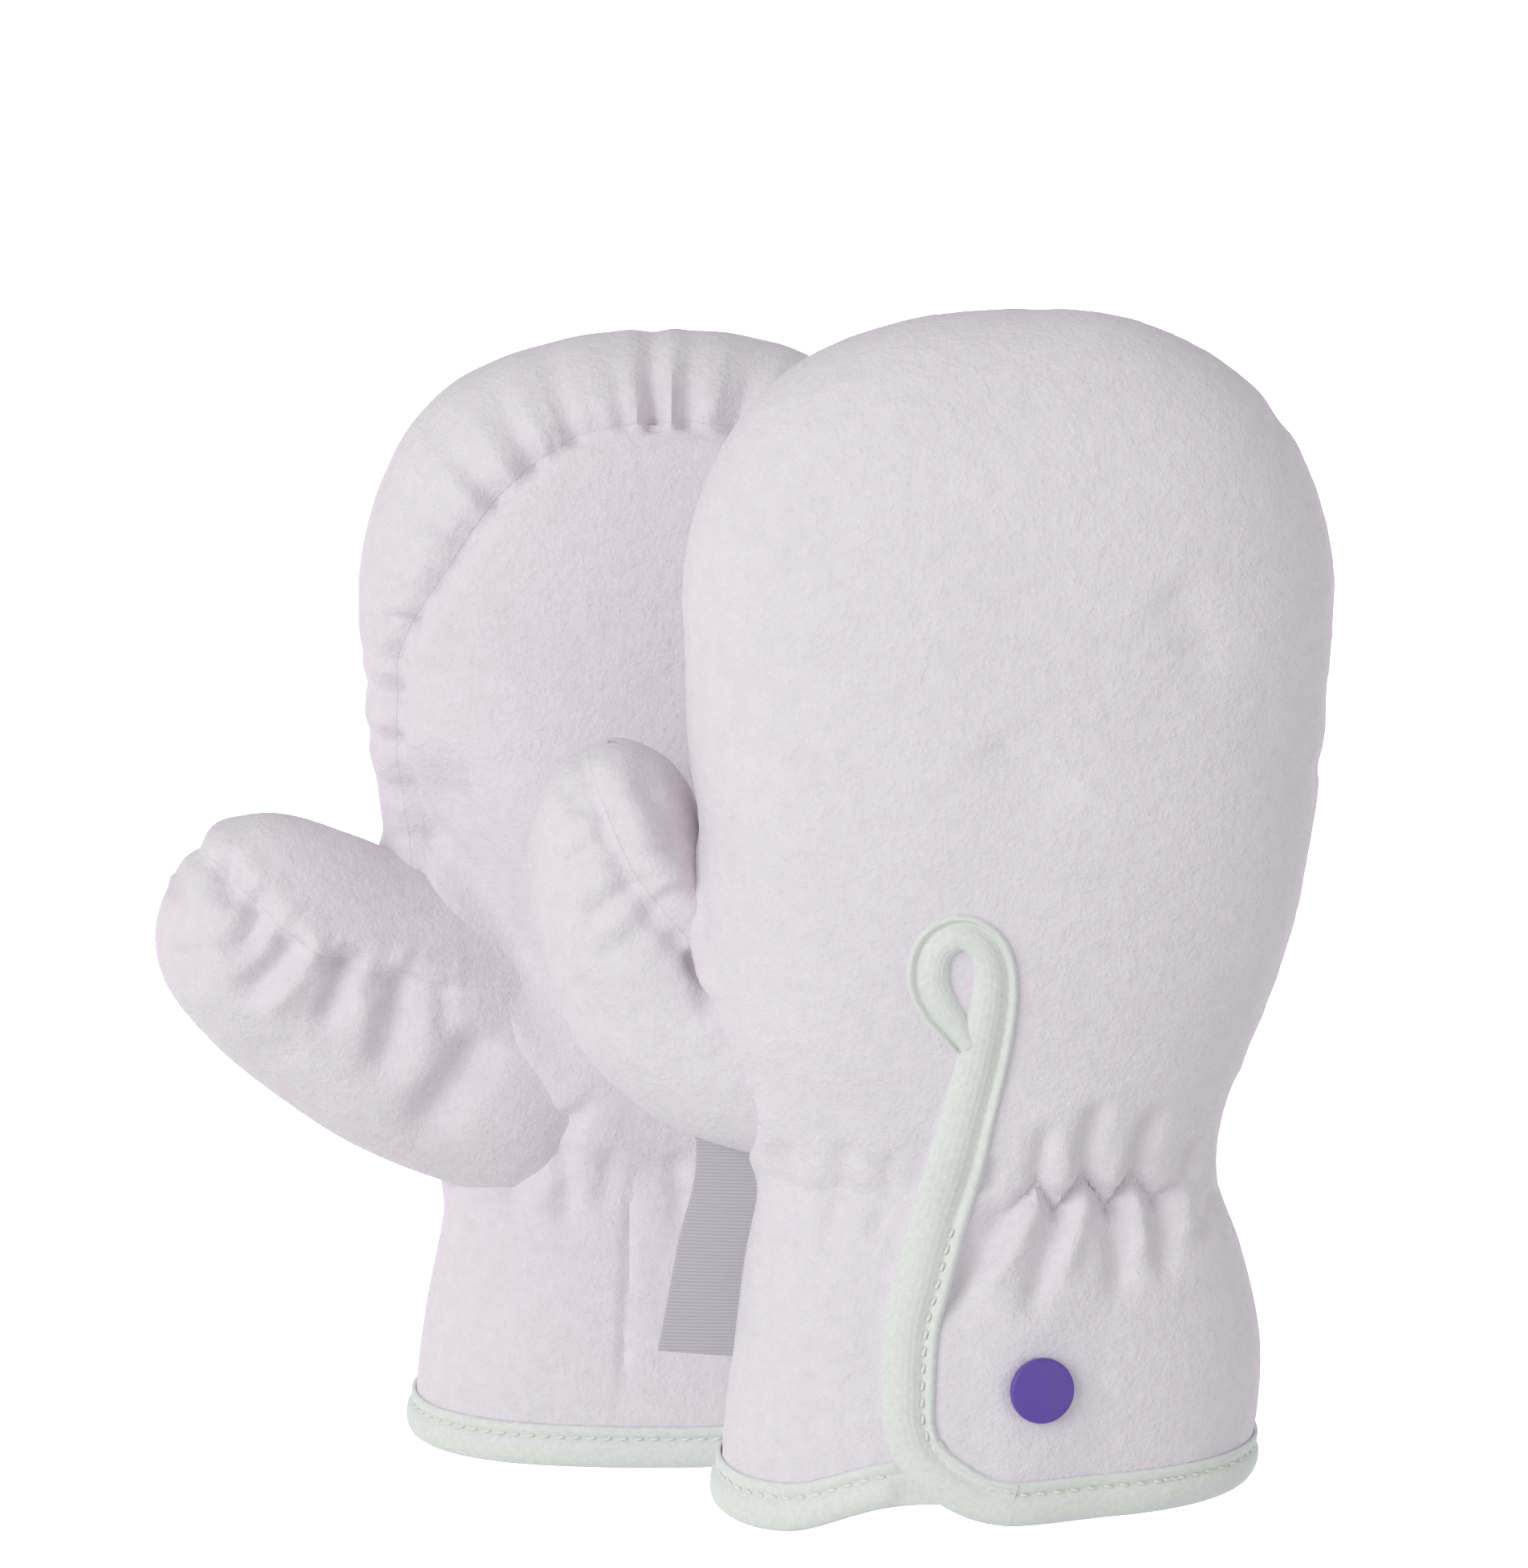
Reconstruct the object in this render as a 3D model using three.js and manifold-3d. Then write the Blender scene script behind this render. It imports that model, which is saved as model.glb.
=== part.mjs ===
// A pair of fleece mittens for a baby, filled out as if worn: the right one in front with the
// back of the hand forward, the left one behind it with the palm forward.
// Millimetres, +Z up. X runs across the hands and Y runs back into the pair.
// The origin is in the right mitten's cuff, in the middle of its hem.

import * as THREE from 'three'
import { mergeVertices } from 'three/addons/utils/BufferGeometryUtils.js'
import Module from 'manifold-3d'

const wasm = await Module()
wasm.setup()

// Driving dimensions: the cloth, the gap between pieces, and the levels of the hand. The pole is
// the middle of the arch over the fingertips.
const CLOTH = 2.0
const GAP = 0.3
const POLE_HEIGHT = 108
const WRIST_HEIGHT = 40
const HAND_START = 58
const ROUNDNESS = 2.25
const HEM_HEIGHT = 5.5
const HEM_DROP = { from: -6, to: -32, height: 24 }
const SIDE_STEP = 4.2
const TIP_STEPS = 30
const PALM_REACHES = [0, 0.4, 0.7, 0.85, 0.94]
const BACK_REACHES = [1, 0.94, 0.84, 0.72, 0.6, 0.48, 0.36, 0.2, 0]

// Gathers: heights of the folds, and how far above and below the wrist the elastic draws them
const SEAM_GATHER = { height: 0.6, start: WRIST_HEIGHT + 8, full: WRIST_HEIGHT + 22, fade: 0.62, back: 0.7 }
const WRIST_GATHER = { height: 1.0, above: 7, below: 11, elsewhere: 0.45 }

// Inside of the hand, plainer than the outside and open through the hem
const INSIDE_HEIGHTS = [-9, 0, 10, 20, 30, WRIST_HEIGHT, 48, 57, 70, 88, POLE_HEIGHT]
const INSIDE_TIP_STEPS = 12
const INSIDE_PALM_REACHES = [0, 0.4, 0.72, 0.92, 1]
const INSIDE_BACK_REACHES = [0.92, 0.78, 0.6, 0.4, 0.2, 0]

// The slit and the flap that covers it, with the binding's loop at the slit's head
const UNDERLAP = { width: 9, fade: 7 }
const RAISE = CLOTH + GAP + 0.1
const SLIT_TOP = 62
const STRAIGHT_SLIT = 12
const FLAP_REACH = 13
const FLAP_FADE = 15
const LOOP = { x: -3.2, z: 70.2, halfWidth: 4.7, halfHeight: 5.6, pinch: 0.12, steps: 24 }

// Binding rolled over the slit's edge, and the hem bands, which stand proud of the cloth
const ROLL = { halfWidth: 2.3, halfHeight: 1.5, lift: 0.75, sides: 8, steps: 28 }
const HEM_BAND = { swell: 0.45, inner: 0.2, flapInner: 0.35, flapMargin: 1 }

const THUMB = { tipStart: 0.74, tipRoundness: 2.3, rings: 13, sides: 18, insideRings: 10, insideSides: 14 }
const BADGE = { x: 6, z: 17.5, radius: 4.1, thickness: 1.2, bevel: 0.35, clear: 0.5, sides: 28 }
const LABEL = { top: 43.5, bottom: 15, topWidth: 7.6, bottomWidth: 9.2, thickness: 0.8, root: 4, sag: 0.6 }

// Reach of the cutting outlines past the mitten
const FAR = 70
const BELOW_HEM = -20
const ABOVE_THUMB = 130
const BESIDE_THUMB = -100

// Colours and finish of the real materials
const FLEECE = { color: 0xe6e1e7, roughness: 0.95, metalness: 0 }
const BINDING = { color: 0xe2e9e4, roughness: 0.8, metalness: 0 }
const RUBBER = { color: 0x5d489e, roughness: 0.55, metalness: 0 }
const WOVEN = { color: 0xc6c1c9, roughness: 0.75, metalness: 0 }

// One row for each level of the hand, from hem to the middle of the fingertips' arch: the two
// edges as the camera sees them, the depth towards palm and back, and how far in from each
// edge the palm seam lies (negative where it runs down the side itself).
const SIDE_COLUMNS = ['height', 'thumb', 'far', 'palm', 'back', 'thumbSeam', 'farSeam']
const RIGHT_SIDES = table(SIDE_COLUMNS, [
  [0, -33.8, 33.0, 20.5, 21.0, -6, -6],
  [8, -33.4, 34.6, 20.5, 21.0, -6, -6],
  [18, -32.0, 34.9, 20.0, 20.5, -6, -6],
  [29, -30.6, 32.6, 17.5, 18.5, -6, -6],
  [39, -28.9, 29.2, 15.0, 16.0, -6, -6],
  [48, -30.2, 29.9, 17.0, 17.5, 4, -6],
  [58, -35.2, 33.6, 20.0, 19.5, 5, 4],
  [70, -36.6, 37.6, 21.5, 21.0, 5, 4],
  [82, -35.6, 39.9, 22.0, 21.5, 5, 4],
  [94, -37.4, 41.2, 22.0, 21.5, 5, 4],
  [108, -37.9, 42.1, 21.5, 21.0, 6, 5],
])
const LEFT_SIDES = table(SIDE_COLUMNS, [
  [0, -32.6, 33.0, 20.5, 21.0, -6, -6],
  [8, -32.4, 34.6, 20.5, 21.0, -6, -6],
  [18, -31.0, 34.9, 20.0, 20.5, -6, -6],
  [29, -28.8, 32.6, 17.5, 18.5, -6, -6],
  [39, -27.8, 29.2, 15.0, 16.0, -6, -6],
  [48, -30.2, 29.9, 17.0, 17.5, 4, -6],
  [58, -34.2, 33.6, 20.0, 19.5, 5, 4],
  [70, -35.6, 37.6, 21.5, 21.0, 5, 4],
  [82, -35.8, 39.9, 22.0, 21.5, 4, 4],
  [94, -37.4, 41.2, 22.0, 21.5, 4, 4],
  [108, -38.2, 42.1, 21.5, 21.0, 5, 5],
])

// The arch over the fingertips, about the pole: 180 degrees is the thumb side, 90 the tip.
const TIP_COLUMNS = ['angle', 'radius', 'seam']
const RIGHT_TIP = table(TIP_COLUMNS, [
  [0, 40.0, 5],
  [24, 42.0, 7],
  [45, 43.2, 9],
  [67, 42.3, 10],
  [90, 40.6, 10],
  [110, 41.4, 10],
  [132, 43.0, 12],
  [155, 42.0, 10],
  [180, 40.0, 6],
])
const LEFT_TIP = table(TIP_COLUMNS, [
  [0, 40.0, 5],
  [24, 42.0, 7],
  [45, 43.5, 9],
  [67, 43.5, 10],
  [90, 42.6, 10],
  [110, 43.6, 11],
  [132, 45.4, 14],
  [155, 43.2, 12],
  [180, 40.3, 5],
])

// The thumbs: points of the middle line from inside the hand to the tip, with the radius in
// the picture's plane and the radius in depth; depth counts towards the palm.
const THUMB_COLUMNS = ['x', 'z', 'depth', 'wide', 'deep']
const RIGHT_THUMB = table(THUMB_COLUMNS, [
  [-22, 54, 3, 14.5, 13.0],
  [-33, 57, 5, 14.5, 14.0],
  [-40.5, 62, 7, 13.6, 14.5],
  [-45.2, 71, 8, 12.2, 14.2],
  [-46.6, 80.5, 8.5, 11.5, 13.6],
  [-46.6, 92.6, 8.5, 11.4, 13.0],
])
const LEFT_THUMB = table(THUMB_COLUMNS, [
  [-18, 52, 4, 19.0, 13.0],
  [-30, 58, 6, 19.2, 13.5],
  [-39, 63.5, 8, 18.6, 13.6],
  [-47, 69, 9.5, 17.4, 13.4],
  [-54, 73.5, 10, 15.6, 13.0],
  [-63.6, 78.7, 10, 15.0, 12.6],
])

// The seam that divides each thumb in two halves, from the tip down into the hand.
const RIGHT_THUMB_SEAM = [
  [-53, 100],
  [-50.6, 92.5],
  [-46.8, 83.5],
  [-41.6, 75],
  [-36, 69],
  [-24, 60],
]
const LEFT_THUMB_SEAM = [
  [-76, 84],
  [-62, 78],
  [-52, 72],
  [-40, 66.5],
  [-22, 62],
]

// The overlapped edge on the back of the hand, from the loop down round the flap's corner.
const SLIT_EDGE = [
  [-3.8, 62.5],
  [-5.6, 53.5],
  [-7.8, 44.5],
  [-10.8, 34.5],
  [-12.9, 24.5],
  [-13.0, 15.5],
  [-11.4, 8.6],
  [-7.8, 3.9],
  [-2.6, 1.0],
  [2.5, 0],
]

const RIGHT = {
  name: 'right',
  back: -1,
  place: [0, 0, 0],
  sides: RIGHT_SIDES,
  tip: RIGHT_TIP,
  thumb: RIGHT_THUMB,
  thumbSeam: RIGHT_THUMB_SEAM,
  hemDrop: 4,
  labelled: true,
}
const LEFT = {
  name: 'left',
  back: 1,
  place: [-43.2, 56, -12],
  sides: LEFT_SIDES,
  tip: LEFT_TIP,
  thumb: LEFT_THUMB,
  thumbSeam: LEFT_THUMB_SEAM,
  hemDrop: 0.5,
  labelled: false,
}

function table(names, rows) {
  return rows.map((row) => Object.fromEntries(names.map((name, i) => [name, row[i]])))
}

// Smooth reading of one column of a table at a value of its first column
function read(rows, key, name, at) {
  const last = rows.length - 1
  const place = Math.min(Math.max(at, rows[0][key]), rows[last][key])
  const found = rows.findIndex((row) => row[key] >= place)
  const i = Math.max(found - 1, 0)
  const slope = (a, b) => (rows[b][name] - rows[a][name]) / (rows[b][key] - rows[a][key])
  const tangent = (k) => slope(Math.max(k - 1, 0), Math.min(k + 1, last))
  const span = rows[i + 1][key] - rows[i][key]
  const t = (place - rows[i][key]) / span
  const rise = rows[i + 1][name] - rows[i][name]
  const a = tangent(i) * span - rise
  const b = -tangent(i + 1) * span + rise
  return rows[i][name] + rise * t + t * (1 - t) * (a * (1 - t) + b * t)
}

// Rises from 0 at `from` to 1 at `to`, level at both ends
function smooth(from, to, value) {
  const t = Math.min(Math.max((value - from) / (to - from), 0), 1)
  return t * t * (3 - 2 * t)
}

// Closed solids from three.js geometry, and back again
function solidOf(geometry) {
  const bare = geometry.clone()
  bare.deleteAttribute('normal')
  bare.deleteAttribute('uv')
  const merged = mergeVertices(bare, 1e-4)
  const points = merged.attributes.position.array
  const corners = []
  let volume = 0
  for (let i = 0; i < merged.index.count; i += 3) {
    const [a, b, c] = [0, 1, 2].map((k) => merged.index.getX(i + k))
    if (a === b || b === c || a === c) continue
    corners.push(a, b, c)
    const [p, q, r] = [a, b, c].map((k) => new THREE.Vector3().fromArray(points, 3 * k))
    volume += p.dot(q.cross(r))
  }
  if (volume < 0) corners.reverse()
  const mesh = new wasm.Mesh({
    numProp: 3,
    vertProperties: new Float32Array(points),
    triVerts: new Uint32Array(corners),
  })
  return new wasm.Manifold(mesh)
}

function geometryOf(solid) {
  const mesh = solid.getMesh()
  const geometry = new THREE.BufferGeometry()
  geometry.setAttribute('position', new THREE.BufferAttribute(mesh.vertProperties, 3))
  geometry.setIndex(new THREE.BufferAttribute(mesh.triVerts, 1))
  geometry.computeVertexNormals()
  return geometry
}

// A closed skin over a grid of points: neighbouring rows are joined, and the rows close round
// when `ringed`; rows whose ends coincide close the skin along the middle.
function skin(rows, ringed) {
  const count = rows[0].length
  const corners = []
  const turns = ringed ? rows.length : rows.length - 1
  for (let r = 0; r < turns; r++) {
    const next = (r + 1) % rows.length
    for (let k = 0; k < count - 1; k++) {
      const a = r * count + k
      const b = next * count + k
      corners.push(a, b, b + 1, a, b + 1, a + 1)
    }
  }
  const geometry = new THREE.BufferGeometry()
  geometry.setAttribute('position', new THREE.Float32BufferAttribute(rows.flat(2), 3))
  geometry.setIndex(corners)
  return solidOf(geometry)
}

// An upright outline in X and Z, drawn out along Y between two depths
function prism(outline, from, to) {
  const shape = new THREE.Shape(outline.map(([x, z]) => new THREE.Vector2(x, z)))
  const low = Math.min(from, to)
  const high = Math.max(from, to)
  const geometry = new THREE.ExtrudeGeometry(shape, { depth: high - low, bevelEnabled: false })
  geometry.rotateX(Math.PI / 2)
  geometry.translate(0, high, 0)
  return solidOf(geometry)
}

// Points of a smooth curve through a few places
function curved(places, steps) {
  const curve = new THREE.SplineCurve(places.map(([x, z]) => new THREE.Vector2(x, z)))
  return curve.getSpacedPoints(steps).map((point) => [point.x, point.y])
}

// The hand is divided into columns that run from the middle of the palm, round an edge, to the
// middle of the back. Level columns climb one side, a fan of them goes over the tip, and level
// ones come down the other side.
function handColumns(mitten, heights, tipSteps) {
  const at = (name, height) => read(mitten.sides, 'height', name, height)
  const middle = (height) => (at('thumb', height) + at('far', height)) / 2
  const level = (edge, height) => ({
    edge,
    height,
    x: at(edge, height),
    z: height,
    middleX: middle(height),
    middleZ: height,
    palm: at('palm', height),
    back: at('back', height),
    seam: at(edge + 'Seam', height),
  })
  const fan = (angle) => {
    const radius = read(mitten.tip, 'angle', 'radius', angle)
    const turn = THREE.MathUtils.degToRad(angle)
    return {
      edge: 'tip',
      height: POLE_HEIGHT,
      x: middle(POLE_HEIGHT) + radius * Math.cos(turn),
      z: POLE_HEIGHT + radius * Math.sin(turn),
      middleX: middle(POLE_HEIGHT),
      middleZ: POLE_HEIGHT,
      palm: at('palm', POLE_HEIGHT),
      back: at('back', POLE_HEIGHT),
      seam: read(mitten.tip, 'angle', 'seam', angle),
    }
  }
  const up = heights.map((height) => level('thumb', height))
  const over = Array.from({ length: tipSteps - 1 }, (_, i) => fan(180 - (180 * (i + 1)) / tipSteps))
  const down = heights.map((height) => level('far', height)).reverse()
  return [...up, ...over, ...down]
}

// One point of a column: `reach` is 0 in the middle and 1 at the edge, `side` 1 on the back
// and -1 on the palm; `grow` moves the whole skin outwards.
function handPoint(mitten, column, reach, side, grow, lift) {
  const outX = column.x - column.middleX
  const outZ = column.z - column.middleZ
  const radius = Math.hypot(outX, outZ)
  const depth = side > 0 ? column.back : column.palm
  const fall = Math.pow(Math.max(1 - Math.pow(reach, ROUNDNESS), 0), 1 / ROUNDNESS)
  const normalOut = Math.pow(reach, ROUNDNESS - 1) / radius
  const normalDeep = Math.pow(fall, ROUNDNESS - 1) / depth
  const normal = Math.hypot(normalOut, normalDeep)
  const out = reach * (radius + grow) + (lift * normalOut) / normal
  const deep = fall * (depth + grow) + (lift * normalDeep) / normal
  const x = column.middleX + (outX / radius) * out
  const z = column.middleZ + (outZ / radius) * out
  return [x, side * mitten.back * deep, z - hemDrop(mitten, x, z)]
}

// The hem hangs lower on the thumb side.
function hemDrop(mitten, x, z) {
  return mitten.hemDrop * smooth(HEM_DROP.from, HEM_DROP.to, x) * (1 - smooth(0, HEM_DROP.height, z))
}

// Gathers: the back is gathered on to the palm along the seam, and elastic gathers the wrist,
// most of all on the far side of the back.
function seamLift(column, index, reach, side) {
  const { height, start, full, fade, back } = SEAM_GATHER
  const zigzag = index % 2 === 0 ? 1 : -1
  const uneven = 0.7 + 0.3 * Math.sin(2.3 * index + 0.7)
  const above = column.edge === 'tip' ? 1 : smooth(start, full, column.height)
  const radius = Math.hypot(column.x - column.middleX, column.z - column.middleZ)
  const seamReach = 1 - column.seam / radius
  const onPalm = smooth(seamReach - 0.1, seamReach, reach)
  const onBack = back * smooth(fade, 1, reach)
  return height * zigzag * uneven * above * (side < 0 ? onPalm : onBack)
}

function wristLift(column, reach, side, step) {
  if (column.edge === 'tip') return 0
  const { height, above, below, elsewhere } = WRIST_GATHER
  const fromWrist = column.height - WRIST_HEIGHT
  const share = fromWrist / (fromWrist > 0 ? above : below)
  const strength = side > 0 && column.edge === 'far' ? 1 : elsewhere
  const fold = step % 2 === 0 ? 1 : -1
  return height * Math.exp(-share * share) * strength * fold * smooth(1, 0.9, reach)
}

function gatherLift(column, index, reach, side, step) {
  const lift = seamLift(column, index, reach, side) + wristLift(column, reach, side, step)
  return lift * smooth(0, 0.1, reach)
}

function handHeights() {
  const low = [0, 7.2, 14, 21, 28, 33, 37, WRIST_HEIGHT, 43, 47, 53]
  const rise = POLE_HEIGHT - HAND_START
  const steps = Math.round(rise / SIDE_STEP)
  const high = Array.from({ length: steps + 1 }, (_, i) => HAND_START + (rise * i) / steps)
  return [...low, ...high]
}

// Outside of the hand with its gathers; `raise` lifts the back where the flap lies on top.
function handOutside(mitten, grow, raise) {
  const columns = handColumns(mitten, handHeights(), TIP_STEPS)
  const rows = columns.map((column, index) => {
    const palm = PALM_REACHES.map((reach, step) => {
      return handPoint(mitten, column, reach, -1, grow, gatherLift(column, index, reach, -1, step))
    })
    const back = BACK_REACHES.map((reach, step) => {
      const lift = gatherLift(column, index, reach, 1, step)
      const point = handPoint(mitten, column, reach, 1, grow, lift)
      point[1] += mitten.back * raise(point[0], point[2]) * smooth(1, 0.9, reach)
      return point
    })
    return [...palm, ...back]
  })
  return skin(rows, true)
}

// Inside of the hand, plain and running out through the hem
function handInside(mitten, grow, raise) {
  const rows = handColumns(mitten, INSIDE_HEIGHTS, INSIDE_TIP_STEPS).map((column) => {
    const palm = INSIDE_PALM_REACHES.map((reach) => handPoint(mitten, column, reach, -1, grow - CLOTH, 0))
    const back = INSIDE_BACK_REACHES.map((reach) => {
      const point = handPoint(mitten, column, reach, 1, grow - CLOTH, 0)
      point[1] += mitten.back * raise(point[0], point[2]) * smooth(1, 0.9, reach)
      return point
    })
    return [...palm, ...back]
  })
  return skin(rows, true)
}

// Depth of the back's outer face above the middle plane, on the level part of the hand
function backDepth(mitten, x, z) {
  const at = (name) => read(mitten.sides, 'height', name, z)
  const middle = (at('thumb') + at('far')) / 2
  const half = (at('far') - at('thumb')) / 2
  const reach = Math.min(Math.abs(x - middle) / half, 1)
  return at('back') * Math.pow(1 - Math.pow(reach, ROUNDNESS), 1 / ROUNDNESS)
}

function slitX(z) {
  const rows = SLIT_EDGE.map(([x, height]) => ({ height, x })).reverse()
  return read(rows, 'height', 'x', z)
}

// The flap lies over the other side of the slit, and eases back down to it past the overlap.
function flapRaise(x, z) {
  const edge = slitX(Math.max(z, STRAIGHT_SLIT))
  const across = 1 - smooth(edge + FLAP_REACH, edge + FLAP_REACH + FLAP_FADE, x)
  const along = 1 - smooth(WRIST_HEIGHT + 4, SLIT_TOP - 4, z)
  return RAISE * across * along
}

function noRaise() {
  return 0
}

// The palm panel's outline, `margin` inside the seam, drawn out from the middle plane to the
// palm side
function palmCutter(mitten, margin) {
  const heights = [BELOW_HEM, 0, 20, 40, 44, 47, 50, 53, 56, 60, 70, 82, 95, POLE_HEIGHT]
  const outline = handColumns(mitten, heights, TIP_STEPS).map((column) => {
    const outX = column.x - column.middleX
    const outZ = column.z - column.middleZ
    const reach = 1 - (column.seam + margin) / Math.hypot(outX, outZ)
    return [column.middleX + outX * reach, column.middleZ + outZ * reach]
  })
  return prism(outline, -mitten.back * margin, -mitten.back * FAR)
}

// Outline of the flap beside the slit, and of what the other side of the slit leaves free
function flapCutter(mitten, margin) {
  const edge = curved(SLIT_EDGE, 30).map(([x, z]) => [x + margin, z])
  const [footX] = SLIT_EDGE.at(-1)
  const [headX] = SLIT_EDGE[0]
  const foot = [[footX + margin, BELOW_HEM], [FAR, BELOW_HEM]]
  const head = [[FAR, SLIT_TOP], [headX + margin, SLIT_TOP]]
  return prism([...edge, ...foot, ...head], 0, mitten.back * FAR)
}

function underCutter(mitten) {
  const heights = [BELOW_HEM, 10, 20, 30, 40, 46, 50, 56, SLIT_TOP]
  const edge = heights.map((z) => {
    const tuck = UNDERLAP.width * (1 - smooth(WRIST_HEIGHT, WRIST_HEIGHT + UNDERLAP.fade, z))
    return [slitX(Math.max(z, STRAIGHT_SLIT)) + tuck, z]
  })
  const farSide = [[FAR, SLIT_TOP], [FAR, BELOW_HEM]]
  return prism([...edge, ...farSide], (mitten.back * GAP) / 2, mitten.back * FAR)
}

// Outline of the hem band, whose top edge follows the drop of the hem
function hemOutline(mitten, margin) {
  const places = [FAR, -6, -13, -19, -24, -29, -33, -FAR]
  const top = places.map((x) => [x, HEM_HEIGHT + margin - hemDrop(mitten, x, HEM_HEIGHT)])
  return [[-FAR, BELOW_HEM], [FAR, BELOW_HEM], ...top]
}

// A bead with an oval section along points that lie on the back of the hand
function bead(mitten, path, lift, wide, high, closed) {
  const { sides } = ROLL
  const onBack = ([x, z]) => {
    const depth = backDepth(mitten, x, z) + flapRaise(x, z) - CLOTH / 2 + lift
    return new THREE.Vector3(x, mitten.back * depth, z)
  }
  const points = path.map(onBack)
  const last = points.length - 1
  const rings = points.map((point, i) => {
    const before = points[i === 0 ? (closed ? last : 0) : i - 1]
    const after = points[i === last ? (closed ? 0 : last) : i + 1]
    const along = new THREE.Vector3().subVectors(after, before).normalize()
    const slopeX = onBack([point.x + 1, point.z]).sub(onBack([point.x - 1, point.z]))
    const slopeZ = onBack([point.x, point.z + 1]).sub(onBack([point.x, point.z - 1]))
    const outward = slopeX.cross(slopeZ).normalize()
    if (outward.y * mitten.back < 0) outward.negate()
    const across = new THREE.Vector3().crossVectors(along, outward).normalize()
    return Array.from({ length: sides + 1 }, (_, k) => {
      const turn = (2 * Math.PI * (k % sides)) / sides
      const place = point.clone().addScaledVector(across, wide * Math.cos(turn))
      return place.addScaledVector(outward, high * Math.sin(turn)).toArray()
    })
  })
  if (closed) return skin(rings, true)
  const cap = (point) => Array.from({ length: sides + 1 }, () => point.toArray())
  return skin([cap(points[0]), ...rings, cap(points[last])], false)
}

// Binding in a loop at the slit's head and down the flap's edge
function binding(mitten, grow) {
  const wide = ROLL.halfWidth + grow
  const high = ROLL.halfHeight + grow
  const loop = Array.from({ length: LOOP.steps }, (_, i) => {
    const turn = (2 * Math.PI * i) / LOOP.steps
    const pinch = 1 - LOOP.pinch * Math.max(-Math.sin(turn), 0)
    return [LOOP.x + LOOP.halfWidth * pinch * Math.cos(turn), LOOP.z + LOOP.halfHeight * Math.sin(turn)]
  })
  const edge = curved(SLIT_EDGE, ROLL.steps).slice(0, -2)
  const tail = edge.map(([x, z], i) => {
    const [beforeX, beforeZ] = edge[Math.max(i - 1, 0)]
    const [afterX, afterZ] = edge[Math.min(i + 1, edge.length - 1)]
    const length = Math.hypot(afterX - beforeX, afterZ - beforeZ)
    const inwardX = -(afterZ - beforeZ) / length
    const inwardZ = (afterX - beforeX) / length
    return [x + inwardX * ROLL.halfWidth, z + inwardZ * ROLL.halfWidth]
  })
  const ring = bead(mitten, loop, ROLL.lift, wide, high, true)
  const run = bead(mitten, tail, ROLL.lift, wide, high, false)
  return ring.add(run)
}

// Thumb: rings square to a middle line that leaves the hand and closes at the tip
function thumbSkin(mitten, grow, ringCount, sides) {
  const place = (row) => new THREE.Vector3(row.x, -mitten.back * row.depth, row.z)
  const curve = new THREE.CatmullRomCurve3(mitten.thumb.map(place))
  const rows = mitten.thumb.map((row, i) => ({ ...row, at: i / (mitten.thumb.length - 1) }))
  const rings = Array.from({ length: ringCount + 1 }, (_, i) => {
    const at = i / ringCount
    const bend = crowded(at)
    const centre = curve.getPoint(bend)
    const along = curve.getTangent(bend)
    const across = new THREE.Vector3(-along.z, 0, along.x).normalize()
    const round = smoothTip(bend)
    const wide = Math.max((read(rows, 'at', 'wide', bend) + grow) * round, 0)
    const deep = Math.max((read(rows, 'at', 'deep', bend) + grow) * round, 0)
    const tipShift = grow * smooth(THUMB.tipStart, 1, bend)
    centre.addScaledVector(along, tipShift)
    return Array.from({ length: sides + 1 }, (_, k) => {
      const turn = (2 * Math.PI * (k % sides)) / sides
      const point = centre.clone().addScaledVector(across, wide * Math.cos(turn))
      point.y += deep * Math.sin(turn)
      return point.toArray()
    })
  })
  const first = curve.getPoint(0)
  const cap = Array.from({ length: sides + 1 }, () => first.toArray())
  return skin([cap, ...rings], false)
}

// Rings crowd together towards the tip, where the thumb closes in a round end
function crowded(at) {
  const length = 1 - THUMB.tipStart
  const share = Math.max(at - THUMB.tipStart, 0) / length
  return Math.min(at, THUMB.tipStart) + length * Math.sin((Math.PI / 2) * share)
}

function smoothTip(at) {
  const share = Math.max(at - THUMB.tipStart, 0) / (1 - THUMB.tipStart)
  return Math.pow(Math.max(1 - Math.pow(share, THUMB.tipRoundness), 0), 1 / THUMB.tipRoundness)
}

// The finger side of the thumb's seam, moved off the seam by a margin
function thumbCutter(mitten, margin) {
  const seam = curved(mitten.thumbSeam, 12).map(([x, z]) => [x + margin * 0.6, z + margin * 0.8])
  const [endX, endZ] = seam.at(-1)
  const inner = [[endX + 10, endZ], [endX + 10, ABOVE_THUMB]]
  const outer = [[BESIDE_THUMB, ABOVE_THUMB], [BESIDE_THUMB, seam[0][1]]]
  return prism([...seam, ...inner, ...outer], -FAR, FAR)
}

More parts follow.
